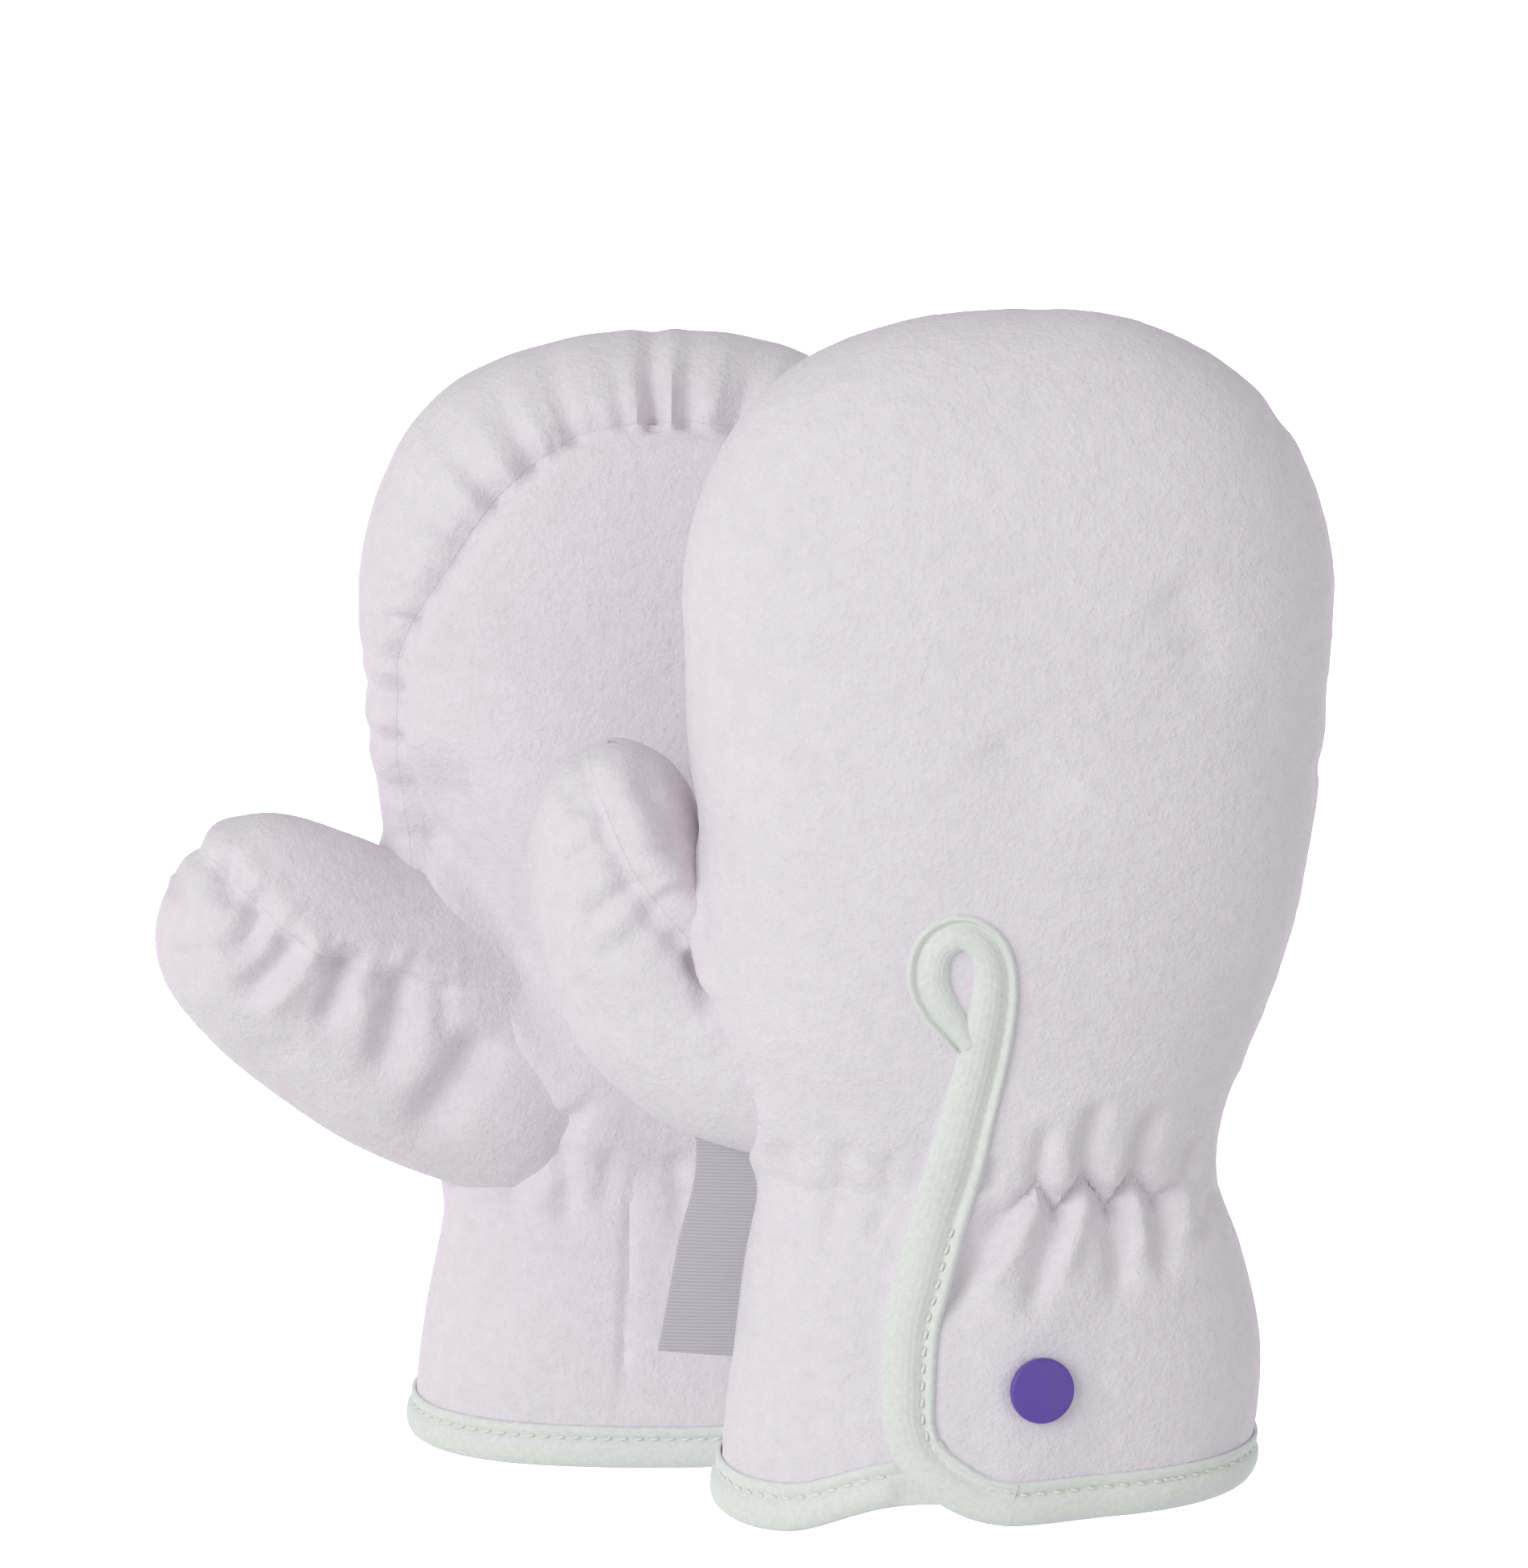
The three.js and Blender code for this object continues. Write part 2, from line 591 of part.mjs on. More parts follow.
// Round badge near the hem on the flap
function badge(mitten) {
  const { radius, thickness, bevel } = BADGE
  const rim = [
    [0, 0],
    [radius - bevel, 0],
    [radius, bevel],
    [radius, thickness - bevel],
    [radius - bevel, thickness],
    [0, thickness],
  ]
  const profile = rim.map(([x, y]) => new THREE.Vector2(x, y))
  const geometry = new THREE.LatheGeometry(profile, BADGE.sides)
  const face = (x, z) => backDepth(mitten, x, z) + flapRaise(x, z)
  const slopeX = (face(BADGE.x + 1, BADGE.z) - face(BADGE.x - 1, BADGE.z)) / 2
  const slopeZ = (face(BADGE.x, BADGE.z + 1) - face(BADGE.x, BADGE.z - 1)) / 2
  const outward = new THREE.Vector3(-slopeX, mitten.back, -slopeZ).normalize()
  const turn = new THREE.Quaternion().setFromUnitVectors(new THREE.Vector3(0, 1, 0), outward)
  geometry.applyQuaternion(turn)
  const depth = face(BADGE.x, BADGE.z) + BADGE.clear
  geometry.translate(BADGE.x, mitten.back * depth, BADGE.z)
  return solidOf(geometry)
}

// Woven flag caught in the side seam of the cuff
function label(mitten) {
  const at = (z) => read(mitten.sides, 'height', 'thumb', z)
  const heights = Array.from({ length: 9 }, (_, i) => LABEL.top + ((LABEL.bottom - LABEL.top) * i) / 8)
  const width = (z) => {
    const t = (LABEL.top - z) / (LABEL.top - LABEL.bottom)
    return LABEL.topWidth + (LABEL.bottomWidth - LABEL.topWidth) * t
  }
  const root = heights.map((z) => [at(z) + LABEL.root, z])
  const free = heights.map((z) => [at(z) - width(z), z + LABEL.sag]).reverse()
  return prism([...root, ...free], -LABEL.thickness / 2, LABEL.thickness / 2)
}

// A wall of the hand between its outside, moved out by `swell`, and its inside
function handWall(side, swell, inner, raise) {
  return handOutside(side, swell, raise).subtract(handInside(side, inner, raise))
}

function backHalf(side) {
  const outline = [[-FAR, BELOW_HEM], [FAR, BELOW_HEM], [FAR, ABOVE_THUMB], [-FAR, ABOVE_THUMB]]
  return prism(outline, side.back * GAP, side.back * FAR)
}

function mitten(side) {
  const thumbInside = thumbSkin(side, -CLOTH, THUMB.insideRings, THUMB.insideSides)
  const wall = handWall(side, 0, 0, noRaise).subtract(thumbInside)
  const flapWall = handWall(side, 0, 0, flapRaise)
  const hemWall = handWall(side, HEM_BAND.swell, -HEM_BAND.inner, noRaise)
  const flapHemWall = handWall(side, HEM_BAND.swell, HEM_BAND.flapInner, flapRaise)
  const clearHand = handOutside(side, GAP, noRaise)

  const palmArea = palmCutter(side, -GAP / 2)
  const hemBand = prism(hemOutline(side, 0), -FAR, FAR)
  const hemCut = prism(hemOutline(side, GAP), -FAR, FAR)
  const bindingRoom = binding(side, GAP)
  const underArea = underCutter(side)

  const palm = wall.intersect(palmCutter(side, GAP / 2)).subtract(hemCut)
  const flap = flapWall.subtract(palmArea).intersect(flapCutter(side, GAP))
  const back = wall
    .subtract(palmArea)
    .subtract(underArea)
    .add(flap)
    .subtract(bindingRoom)
    .subtract(hemCut)
  const hem = hemWall.intersect(hemBand).subtract(underArea)
  const flapHemArea = flapCutter(side, HEM_BAND.flapMargin).intersect(backHalf(side))
  const flapHem = flapHemWall.intersect(hemBand).intersect(flapHemArea).subtract(bindingRoom)

  const thumb = thumbSkin(side, 0, THUMB.rings, THUMB.sides).subtract(thumbInside).subtract(clearHand)
  const fingerHalf = thumb.intersect(thumbCutter(side, GAP / 2))
  const outerHalf = thumb.subtract(thumbCutter(side, -GAP / 2))

  const pieces = [
    ['palm', palm, FLEECE],
    ['back', back, FLEECE],
    ['thumb_finger_side', fingerHalf, FLEECE],
    ['thumb_outer_side', outerHalf, FLEECE],
    ['slit_binding', binding(side, 0), BINDING],
    ['hem', hem, BINDING],
    ['flap_hem', flapHem, BINDING],
    ['badge', badge(side), RUBBER],
  ]
  if (side.labelled) {
    const clearThumb = thumbSkin(side, GAP, THUMB.rings, THUMB.sides)
    const flag = label(side).subtract(clearHand).subtract(clearThumb)
    pieces.push(['label', flag, WOVEN])
  }

  const group = new THREE.Group()
  group.position.set(...side.place)
  for (const [name, solid, finish] of pieces) {
    const mesh = new THREE.Mesh(geometryOf(solid), new THREE.MeshStandardMaterial(finish))
    mesh.name = `${side.name}_${name}`
    group.add(mesh)
  }
  return group
}

const group = new THREE.Group()
group.add(mitten(RIGHT), mitten(LEFT))

export default group
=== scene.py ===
import math

import bmesh
import bpy
import numpy as np
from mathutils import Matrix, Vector


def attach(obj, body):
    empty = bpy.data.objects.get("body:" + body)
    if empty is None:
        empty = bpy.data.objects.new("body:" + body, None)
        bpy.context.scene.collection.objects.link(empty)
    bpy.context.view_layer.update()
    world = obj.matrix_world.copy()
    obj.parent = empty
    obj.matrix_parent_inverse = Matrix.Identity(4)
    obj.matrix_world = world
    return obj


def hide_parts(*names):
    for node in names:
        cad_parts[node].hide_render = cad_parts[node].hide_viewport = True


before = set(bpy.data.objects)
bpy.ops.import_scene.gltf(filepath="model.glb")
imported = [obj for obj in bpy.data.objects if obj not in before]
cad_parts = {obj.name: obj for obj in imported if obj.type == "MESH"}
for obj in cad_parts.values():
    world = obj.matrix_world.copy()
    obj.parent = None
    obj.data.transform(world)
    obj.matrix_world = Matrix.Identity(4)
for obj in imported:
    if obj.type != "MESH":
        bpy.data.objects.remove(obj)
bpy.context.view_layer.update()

# The camera stands 0.75 m away and a little above the mittens, as the photograph was taken.
# Its lens gives ten pixels to a millimetre at the front mitten, in a picture 1954 pixels high.
view_distance = 0.75
view_rise = math.radians(12)
look_at = Vector((-0.0281, 0, 0.0893))
pixels_per_metre = 10000
picture_height = 1954


def place_object(name, data):
    thing = bpy.data.objects.new(name, data)
    bpy.context.collection.objects.link(thing)
    return thing


def aimed(place):
    return (look_at - Vector(place)).to_track_quat("-Z", "Y").to_euler()


camera_data = bpy.data.cameras.new("camera")
camera_data.sensor_width = 36
camera_data.lens = camera_data.sensor_width * pixels_per_metre * view_distance / picture_height
camera = place_object("camera", camera_data)
camera.location = look_at + view_distance * Vector((0, -math.cos(view_rise), math.sin(view_rise)))
camera.rotation_euler = aimed(camera.location)
bpy.context.scene.camera = camera

# A white studio: a large soft light from the left and front, a weak one from the right, and a
# plain pale floor well below the mittens, which hang in the air as on a wearer's hands. The far
# floor behind them has a lamp of its own, so that it stays white.
studio_lights = [
    ("key", (-0.88, -0.92, 0.5), 1.0, 8.1),
    ("fill", (0.95, -0.8, 0.2), 1.0, 1.3),
]
for light_name, place, size, power in studio_lights:
    lamp = bpy.data.lights.new(light_name, "AREA")
    lamp.shape = "DISK"
    lamp.size = size
    lamp.energy = power
    light = place_object(light_name, lamp)
    light.location = place
    light.rotation_euler = aimed(place)
floor_lamp = bpy.data.lights.new("floor_lamp", "AREA")
floor_lamp.shape = "RECTANGLE"
floor_lamp.size = 3.4
floor_lamp.size_y = 6.8
floor_lamp.spread = math.radians(90)
floor_lamp.energy = 330
place_object("floor_lamp", floor_lamp).location = (0, 4.1, 0.8)
world = bpy.data.worlds.new("studio")
world.use_nodes = True
sky = world.node_tree.nodes["Background"]
sky.inputs["Color"].default_value = (1, 1, 1, 1)
sky.inputs["Strength"].default_value = 0.52
bpy.context.scene.world = world
bpy.context.scene.view_settings.view_transform = "Standard"


def wire(tree, node, sockets):
    """Sets a node's sockets; one that is given another node's output is linked to it."""
    for name, value in sockets.items():
        if isinstance(value, bpy.types.NodeSocket):
            tree.links.new(value, node.inputs[name])
        else:
            node.inputs[name].default_value = value


def new_material(name, sockets):
    """A material with its shader's sockets set, and the tree of its nodes."""
    material = bpy.data.materials.new(name)
    material.use_nodes = True
    wire(material.node_tree, material.node_tree.nodes["Principled BSDF"], sockets)
    return material, material.node_tree


bpy.ops.object.select_all(action="DESELECT")
bpy.ops.mesh.primitive_plane_add(size=9, location=(0, 2.2, -0.32))
floor = bpy.context.object
floor.name = "floor"
floor_paint, _ = new_material("floor_paint", {
    "Base Color": (0.78, 0.78, 0.78, 1), "Roughness": 0.9,
})
floor.data.materials.append(floor_paint)

# The palm panels: a long arch of fleece, 2 mm thick, with the palm half of the cuff. The back
# panel is gathered on to it along the arch. It is cut from a hand-shaped wall, which is made
# here for both mittens: levels up the two sides, and a fan over the tip about the pole.
MM = 0.001
pole_height = 108.0
tip_radius = 43.0
wrist_height = 40.0
roundness = 2.25
cloth = 2.0
far_out = 70

# Columns of the hand's form: up the sides from the hem to the pole, and over the tip by angle.
levels = [0, 8, 18, 29, 39, 48, 58, 70, 82, 94, pole_height]
far_edge = [33, 34.6, 34.9, 32.6, 29.2, 29.9, 33.6, 37.6, 39.9, 41.2, 42.1]
palm_depth = [20.5, 20.5, 20, 17.5, 15, 17, 20, 21.5, 22, 22, 21.5]
back_depth = [21, 21, 20.5, 18.5, 16, 17.5, 19.5, 21, 21.5, 21.5, 21]
far_seam = [-6, -6, -6, -6, -6, -6, 4, 4, 4, 4, 5]
tip_angles = [0, 24, 45, 67, 90, 110, 132, 155, 180]


def hand_form(thumb_edge, thumb_seam, tip_reach, tip_seam):
    columns = [levels, thumb_edge, far_edge, palm_depth, back_depth, thumb_seam, far_seam]
    return {
        "sides": np.column_stack(columns).astype(float),
        "tip": np.column_stack([tip_angles, tip_reach, tip_seam]).astype(float),
    }


right = {
    "name": "right",
    "back": -1,
    "place": np.array([0.0, 0.0, 0.0]),
    "hem_drop": 4.0,
    **hand_form(
        [-33.8, -33.4, -32, -30.6, -28.9, -30.2, -35.2, -36.6, -35.6, -37.4, -37.9],
        [-6, -6, -6, -6, -6, 4, 5, 5, 5, 5, 6],
        [40, 42, 43.2, 42.3, 40.6, 41.4, 43, 42, 40],
        [5, 7, 9, 10, 10, 10, 12, 10, 6],
    ),
}
left = {
    "name": "left",
    "back": 1,
    "place": np.array([-43.2, 56.0, -12.0]),
    "hem_drop": 0.5,
    **hand_form(
        [-32.6, -32.4, -31, -28.8, -27.8, -30.2, -34.2, -35.6, -35.8, -37.4, -38.2],
        [-6, -6, -6, -6, -6, 4, 5, 5, 4, 4, 5],
        [40, 42, 43.5, 43.5, 42.6, 43.6, 45.4, 43.2, 40.3],
        [5, 7, 9, 10, 10, 11, 14, 12, 5],
    ),
}
mittens = [right, left]


def smooth(start, end, value):
    share = np.clip((np.asarray(value, float) - start) / (end - start), 0, 1)
    return share * share * (3 - 2 * share)


def read(rows, column, at):
    """A column of a table, read smoothly at keys that lie between its rows."""
    keys, values = rows[:, 0], rows[:, column]
    at = np.clip(at, keys[0], keys[-1])
    i = np.clip(np.searchsorted(keys, at) - 1, 0, len(keys) - 2)
    slopes = np.diff(values) / np.diff(keys)
    inner = (values[2:] - values[:-2]) / (keys[2:] - keys[:-2])
    tangents = np.concatenate([slopes[:1], inner, slopes[-1:]])
    span = keys[i + 1] - keys[i]
    share = (at - keys[i]) / span
    rise = values[i + 1] - values[i]
    bend_in = tangents[i] * span - rise
    bend_out = rise - tangents[i + 1] * span
    bend = bend_in * (1 - share) + bend_out * share
    return values[i] + rise * share + share * (1 - share) * bend


def hand_edges(mitten, level):
    """Where the hand's thumb edge and far edge are at a height."""
    return read(mitten["sides"], 1, level), read(mitten["sides"], 2, level)


def hand_columns(mitten, heights, tip_steps):
    """Where each column of the hand meets the edge, its middle, depths and seam."""
    heights = np.asarray(heights, float)
    sides = mitten["sides"]
    thumb_edge, far_edge = hand_edges(mitten, heights)
    middle = (thumb_edge + far_edge) / 2
    angles = 180 - 180 * np.arange(1, tip_steps) / tip_steps
    radius = read(mitten["tip"], 1, angles)
    turn = np.radians(angles)
    pole_x = sum(hand_edges(mitten, pole_height)) / 2
    pole_levels = np.full(len(angles), pole_height)

    def run(thumb_part, tip_part, far_part):
        return np.concatenate([thumb_part, tip_part, far_part[::-1]])

    def depth_run(column):
        return run(*[read(sides, column, level) for level in (heights, pole_levels, heights)])

    return {
        "x": run(thumb_edge, pole_x + radius * np.cos(turn), far_edge),
        "z": run(heights, pole_height + radius * np.sin(turn), heights),
        "middle_x": run(middle, np.full(len(angles), pole_x), middle),
        "middle_z": run(heights, pole_levels, heights),
        "palm": depth_run(3),
        "back": depth_run(4),
        "seam": run(read(sides, 5, heights), read(mitten["tip"], 2, angles), read(sides, 6, heights)),
    }


def hem_drop(mitten, x, z):
    return mitten["hem_drop"] * smooth(-6, -32, x) * (1 - smooth(0, 24, z))


def hand_points(mitten, columns, reach, side, grow):
    """Points on the palm (side -1) or back (side 1): a row for a column, a place for a reach."""
    reach = np.asarray(reach, float)[None, :]
    out_x = (columns["x"] - columns["middle_x"])[:, None]
    out_z = (columns["z"] - columns["middle_z"])[:, None]
    radius = np.hypot(out_x, out_z)
    depth = (columns["back"] if side > 0 else columns["palm"])[:, None]
    out = reach * (radius + grow)
    deep = np.maximum(1 - reach**roundness, 0) ** (1 / roundness) * (depth + grow)
    x = columns["middle_x"][:, None] + out_x / radius * out
    z = columns["middle_z"][:, None] + out_z / radius * out
    return np.stack([x, side * mitten["back"] * deep, z - hem_drop(mitten, x, z)], axis=-1)


def solid_object(name, shape):
    """A piece from a closed shape, with its faces turned outwards."""
    bmesh.ops.recalc_face_normals(shape, faces=shape.faces)
    if shape.calc_volume(signed=True) < 0:
        bmesh.ops.reverse_faces(shape, faces=shape.faces)
    mesh = bpy.data.meshes.new(name)
    shape.to_mesh(mesh)
    shape.free()
    return place_object(name, mesh)


def skin_object(name, mitten, rows, ringed):
    """A closed skin over rows of points in millimetres; coinciding points are merged."""
    count = rows.shape[1]
    points = rows.reshape(-1, 3)
    turns = len(rows) if ringed else len(rows) - 1
    faces = []
    for row in range(turns):
        following = (row + 1) % len(rows)
        for k in range(count - 1):
            a = row * count + k
            b = following * count + k
            faces.append((a, b, b + 1, a + 1))
    net = bpy.data.meshes.new(name)
    net.from_pydata(((points + mitten["place"]) * MM).tolist(), [], faces)
    shape = bmesh.new()
    shape.from_mesh(net)
    bpy.data.meshes.remove(net)
    bmesh.ops.remove_doubles(shape, verts=shape.verts, dist=1e-6)
    bmesh.ops.dissolve_degenerate(shape, edges=shape.edges, dist=1e-7)
    return solid_object(name, shape)


def prism_object(mitten, outline, start, end):
    """An upright outline in X and Z, drawn out along Y."""
    shape = bmesh.new()
    place = mitten["place"]

    def corners(y):
        return [
            shape.verts.new(((x + place[0]) * MM, (y + place[1]) * MM, (z + place[2]) * MM))
            for x, z in outline
        ]

    near, far = corners(min(start, end)), corners(max(start, end))
    shape.faces.new(near)
    shape.faces.new(far[::-1])
    for k in range(len(outline)):
        following = (k + 1) % len(outline)
        shape.faces.new((near[k], far[k], far[following], near[following]))
    bmesh.ops.triangulate(shape, faces=shape.faces)
    return solid_object("cutter", shape)


def pick(piece):
    bpy.ops.object.select_all(action="DESELECT")
    piece.select_set(True)
    bpy.context.view_layer.objects.active = piece


def apply_all(piece):
    pick(piece)
    for modifier in list(piece.modifiers):
        bpy.ops.object.modifier_apply(modifier=modifier.name)


def copy_of(piece, name):
    return place_object(name, piece.data.copy())


def carve(piece, tool, operation):
    """Cuts, joins or crosses a solid with another, which is used up."""
    step = piece.modifiers.new("carve", "BOOLEAN")
    step.operation = operation
    step.solver = "MANIFOLD"
    step.object = tool
    apply_all(piece)
    bpy.data.objects.remove(tool, do_unlink=True)
    return piece


def fine_net(piece, grain):
    """An even fine net over the cloth, with its sharp places eased."""
    net = piece.modifiers.new("net", "REMESH")
    net.mode = "VOXEL"
    net.voxel_size = grain * MM
    ease = piece.modifiers.new("ease", "SMOOTH")
    ease.factor = 0.5
    ease.iterations = 2
    apply_all(piece)


def finish_surface(piece, angle, material):
    """One material all over, and smooth shading with the cut edges kept sharp."""
    piece.data.materials.clear()
    piece.data.materials.append(material)
    pick(piece)
    bpy.ops.object.shade_smooth_by_angle(angle=math.radians(angle))


def mesh_points(piece):
    count = len(piece.data.vertices)
    points = np.empty(count * 3)
    normals = np.empty(count * 3)
    piece.data.vertices.foreach_get("co", points)
    piece.data.vertices.foreach_get("normal", normals)
    return points.reshape(-1, 3), normals.reshape(-1, 3)


def set_points(piece, points):
    piece.data.vertices.foreach_set("co", points.ravel())
    piece.data.update()


# Gathers round the palm seam: a row for each larger pleat, with the place along the edge, its
# depth, half width and how far it runs on to the back, in millimetres. The place is the height
# on the thumb side, and goes on over the tip and down the far side.
def over_tip(angle):
    return pole_height + tip_radius * np.radians(180 - angle)


def far_side(height):
    return 2 * pole_height + tip_radius * math.pi - height


right["pleats"] = [
    (over_tip(84.7), 1.7, 1.8, 9), (over_tip(100), 0.5, 2.2, 7), (over_tip(111), 0.8, 2, 8),
    (over_tip(134), 0.7, 2.4, 7), (over_tip(62), 0.6, 2.4, 8), (over_tip(39.7), 1.9, 1.9, 12),
    (over_tip(21), 0.6, 2, 7), (over_tip(5.2), 1.3, 1.7, 9), (far_side(101.6), 1.4, 1.6, 9),
    (far_side(92.1), 1.8, 1.8, 11), (far_side(80), 0.8, 2, 7), (far_side(69), 0.9, 2, 8),
    (far_side(56.6), 0.9, 2, 12), (far_side(51), 0.7, 1.8, 9), (96, 0.5, 2.2, 6),
    (84, 0.8, 2.4, 8), (72, 0.6, 2, 7),
]
left["pleats"] = [
    (over_tip(92.2), 2.7, 1.7, 13), (over_tip(98.1), 1.3, 1.4, 8), (over_tip(84.7), 1.5, 1.6, 10),
    (over_tip(73.6), 1.6, 2, 10), (over_tip(62), 0.8, 1.8, 9), (over_tip(104.5), 0.5, 1.5, 6),
    (over_tip(110.5), 1.4, 1.8, 10), (over_tip(122.2), 1.3, 1.7, 10), (over_tip(133.3), 1.5, 1.8, 10),
    (over_tip(146.2), 1.4, 1.8, 10), (over_tip(159.3), 1.1, 1.7, 8), (over_tip(170.1), 1, 1.5, 8),
    (103.6, 1.4, 1.5, 9), (96.8, 1.3, 1.4, 9), (90.5, 0.8, 1.6, 8), (83.3, 0.9, 1.5, 8),
    (over_tip(48), 1.2, 2, 9), (over_tip(30), 1, 1.9, 9), (over_tip(12), 0.8, 1.8, 8),
    (far_side(98), 1.1, 1.8, 9), (far_side(86), 0.9, 2, 8), (far_side(72), 0.9, 2, 8),
    (far_side(58), 1.3, 2, 10),
]


def seam_place(mitten, place):
    """How far points lie from the palm seam, more than 0 on the back, and where along it."""
    sides = mitten["sides"]
    x, z = place[:, 0], place[:, 2]
    level = np.clip(z, 0, pole_height)
    thumb_edge, far_edge = hand_edges(mitten, level)
    pole_x = sum(hand_edges(mitten, pole_height)) / 2
    over = z > pole_height
    angle = np.degrees(np.arctan2(np.maximum(z - pole_height, 0), x - pole_x))
    middle = (thumb_edge + far_edge) / 2
    by_thumb = x < middle
    radius = np.where(over, read(mitten["tip"], 1, angle), (far_edge - thumb_edge) / 2)
    out = np.where(over, np.hypot(x - pole_x, z - pole_height), np.abs(x - middle))
    side_seam = np.where(by_thumb, read(sides, 5, level), read(sides, 6, level))
    seam = np.where(over, read(mitten["tip"], 2, angle), side_seam)
    station = np.where(over, over_tip(angle), np.where(by_thumb, level, far_side(level)))
    reach = np.minimum(1 - seam / radius, 1)
    seam_out = reach * radius
    seam_deep = read(sides, 3, level) * (1 - reach**roundness) ** (1 / roundness)
    deep = -mitten["back"] * place[:, 1]
    distance = np.hypot(out - seam_out, deep - seam_deep)
    return np.where((out > seam_out) | (deep < 0), distance, -distance), station


def by_thumb_lift(mitten, place):
    """Cloth drawn up softly round the thumb's root."""
    line = spline_points(mitten["thumb"], np.linspace(0, 0.8, 40))
    away = np.full(len(place), 1e9)
    for x, z, deep, wide, high in line:
        flat = np.hypot(place[:, 0] - x, place[:, 2] - z) / wide
        across = (place[:, 1] + mitten["back"] * deep) / high
        away = np.minimum(away, (np.hypot(flat, across) - 1) * high)
    return 1.2 * np.exp(-((away / 2.4) ** 2)) * smooth(-1.4, 0.2, away)


def seam_lift(mitten, place):
    """The soft valley at the palm seam, the puffed rim beyond it and the gathers in that rim."""
    beyond, station = seam_place(mitten, place)
    gathered = smooth(50, 64, place[:, 2])
    on_rim = np.maximum(beyond, 0)
    valley = -(0.3 + 0.55 * gathered) * np.exp(-((np.abs(beyond) / (1.2 + 0.8 * gathered)) ** 2))
    rim = 0.8 * gathered * (on_rim / 3.2) * np.exp(1 - on_rim / 3.2)
    fine = 0.2 * np.sin(station * 1.19) + 0.17 * np.sin(station * 1.71 + 1.3)
    fine = fine + 0.13 * np.sin(station * 2.6)
    pleats = fine * np.exp(-on_rim / 6.0)
    for at, depth, width, length in mitten["pleats"]:
        across = np.exp(-(((station - at) / width) ** 2))
        beside = 0.3 * np.exp(-(((np.abs(station - at) - 2.0 * width) / width) ** 2))
        pleats = pleats + 1.4 * depth * (beside - across) * np.exp(-on_rim / (0.62 * length))
    pleats = pleats * gathered * smooth(-1.4, 0.6, beyond)
    return valley + rim + pleats + by_thumb_lift(mitten, place)


def hand_shell(mitten, grow, heights, counts, raise_by):
    """The hand's closed form, with counts of places over the tip, the palm and the back."""
    tip_count, palm_count, back_count = counts
    columns = hand_columns(mitten, heights, tip_count)
    palm_reach = np.sin(np.linspace(0, 0.5 * np.pi, palm_count))[:-1]
    back_reach = np.sin(np.linspace(0.5 * np.pi, 0, back_count))
    palm = hand_points(mitten, columns, palm_reach, -1, grow)
    back = hand_points(mitten, columns, back_reach, 1, grow)
    if raise_by is not None:
        rise = raise_by(back[..., 0], back[..., 2]) * smooth(1, 0.9, back_reach)[None, :]
        back[..., 1] += mitten["back"] * rise
    return skin_object("hand_shell", mitten, np.concatenate([palm, back], axis=1), True)


def hand_outside(mitten, grow, raise_by=None):
    heights = np.arange(0, pole_height + 0.5, 2.0)
    return hand_shell(mitten, grow, heights, (90, 24, 30), raise_by)


def hand_wall(mitten, raise_by=None):
    """The cloth between the hand's outside and the hollow in it, open at the cuff."""
    heights = np.concatenate([[-9], np.arange(0, pole_height + 0.5, 3.0)])
    inside = hand_shell(mitten, -cloth, heights, (44, 14, 14), raise_by)
    return carve(hand_outside(mitten, 0, raise_by), inside, "DIFFERENCE")


def palm_cutter(mitten, margin):
    """The palm's outline, drawn out over the palm side, smaller by a margin."""
    heights = np.array([-15, 0, 20, 40, 44, 47, 50, 53, 56, 60, 70, 82, 95, pole_height])
    columns = hand_columns(mitten, heights, 60)
    radius = np.hypot(columns["x"] - columns["middle_x"], columns["z"] - columns["middle_z"])
    reach = 1 - (columns["seam"] + margin) / radius
    x = columns["middle_x"] + (columns["x"] - columns["middle_x"]) * reach
    z = columns["middle_z"] + (columns["z"] - columns["middle_z"]) * reach
    facing = -mitten["back"]
    return prism_object(mitten, list(zip(x, z)), facing * margin, facing * far_out)


tape_height = 5.9
tape_overlap = 1.2


def hem_cutter(mitten, top):
    places = np.array([far_out, -6, -13, -19, -24, -29, -33, -far_out])
    heights = top - hem_drop(mitten, places, top)
    outline = [(-far_out, -20), (far_out, -20)] + list(zip(places, heights))
    return prism_object(mitten, outline, -far_out, far_out)


# Thumb tubes, used here to open the hand where the thumb joins it: points of the middle line
# with depth towards the palm, the radius in the picture's plane and the radius in depth.
right["thumb"] = np.array([
    [-22, 54, 3, 14.5, 13],
    [-33, 57, 5, 14.5, 14],
    [-40.5, 62, 7, 13.6, 14.5],
    [-45.2, 71, 8, 12.2, 14.2],
    [-46.6, 80.5, 8.5, 11.5, 13.6],
    [-46.6, 92.6, 8.5, 11.4, 13],
])
right["thumb_tip_start"] = 0.74
right["thumb_root"] = 1.2
left["thumb"] = np.array([
    [-2, 47, -3, 17, 11],
    [-12, 50.5, 3.6, 18.4, 12.6],
    [-22, 54, 5.4, 19, 13.2],
    [-31, 58.5, 7, 19.2, 13.6],
    [-39, 63.5, 8, 18.6, 13.6],
    [-47, 69, 9.5, 17.4, 13.4],
    [-54, 73.5, 10, 15.6, 13],
    [-63.6, 78.7, 10, 15, 12.6],
])
left["thumb_tip_start"] = 0.814
left["thumb_root"] = 6.0


def smooth_line(keys, places, at):
    rows = np.column_stack([keys, places])
    return np.stack([read(rows, k, at) for k in range(1, rows.shape[1])], axis=-1)


def spline_points(places, at):
    """A smooth line through places, read at shares of its count."""
    return smooth_line(np.linspace(0, 1, len(places)), np.asarray(places, float), at)


def upright(mitten, line):
    """The thumb's rows of X, Z and depth as points."""
    return np.stack([line[:, 0], -mitten["back"] * line[:, 2], line[:, 1]], axis=-1)


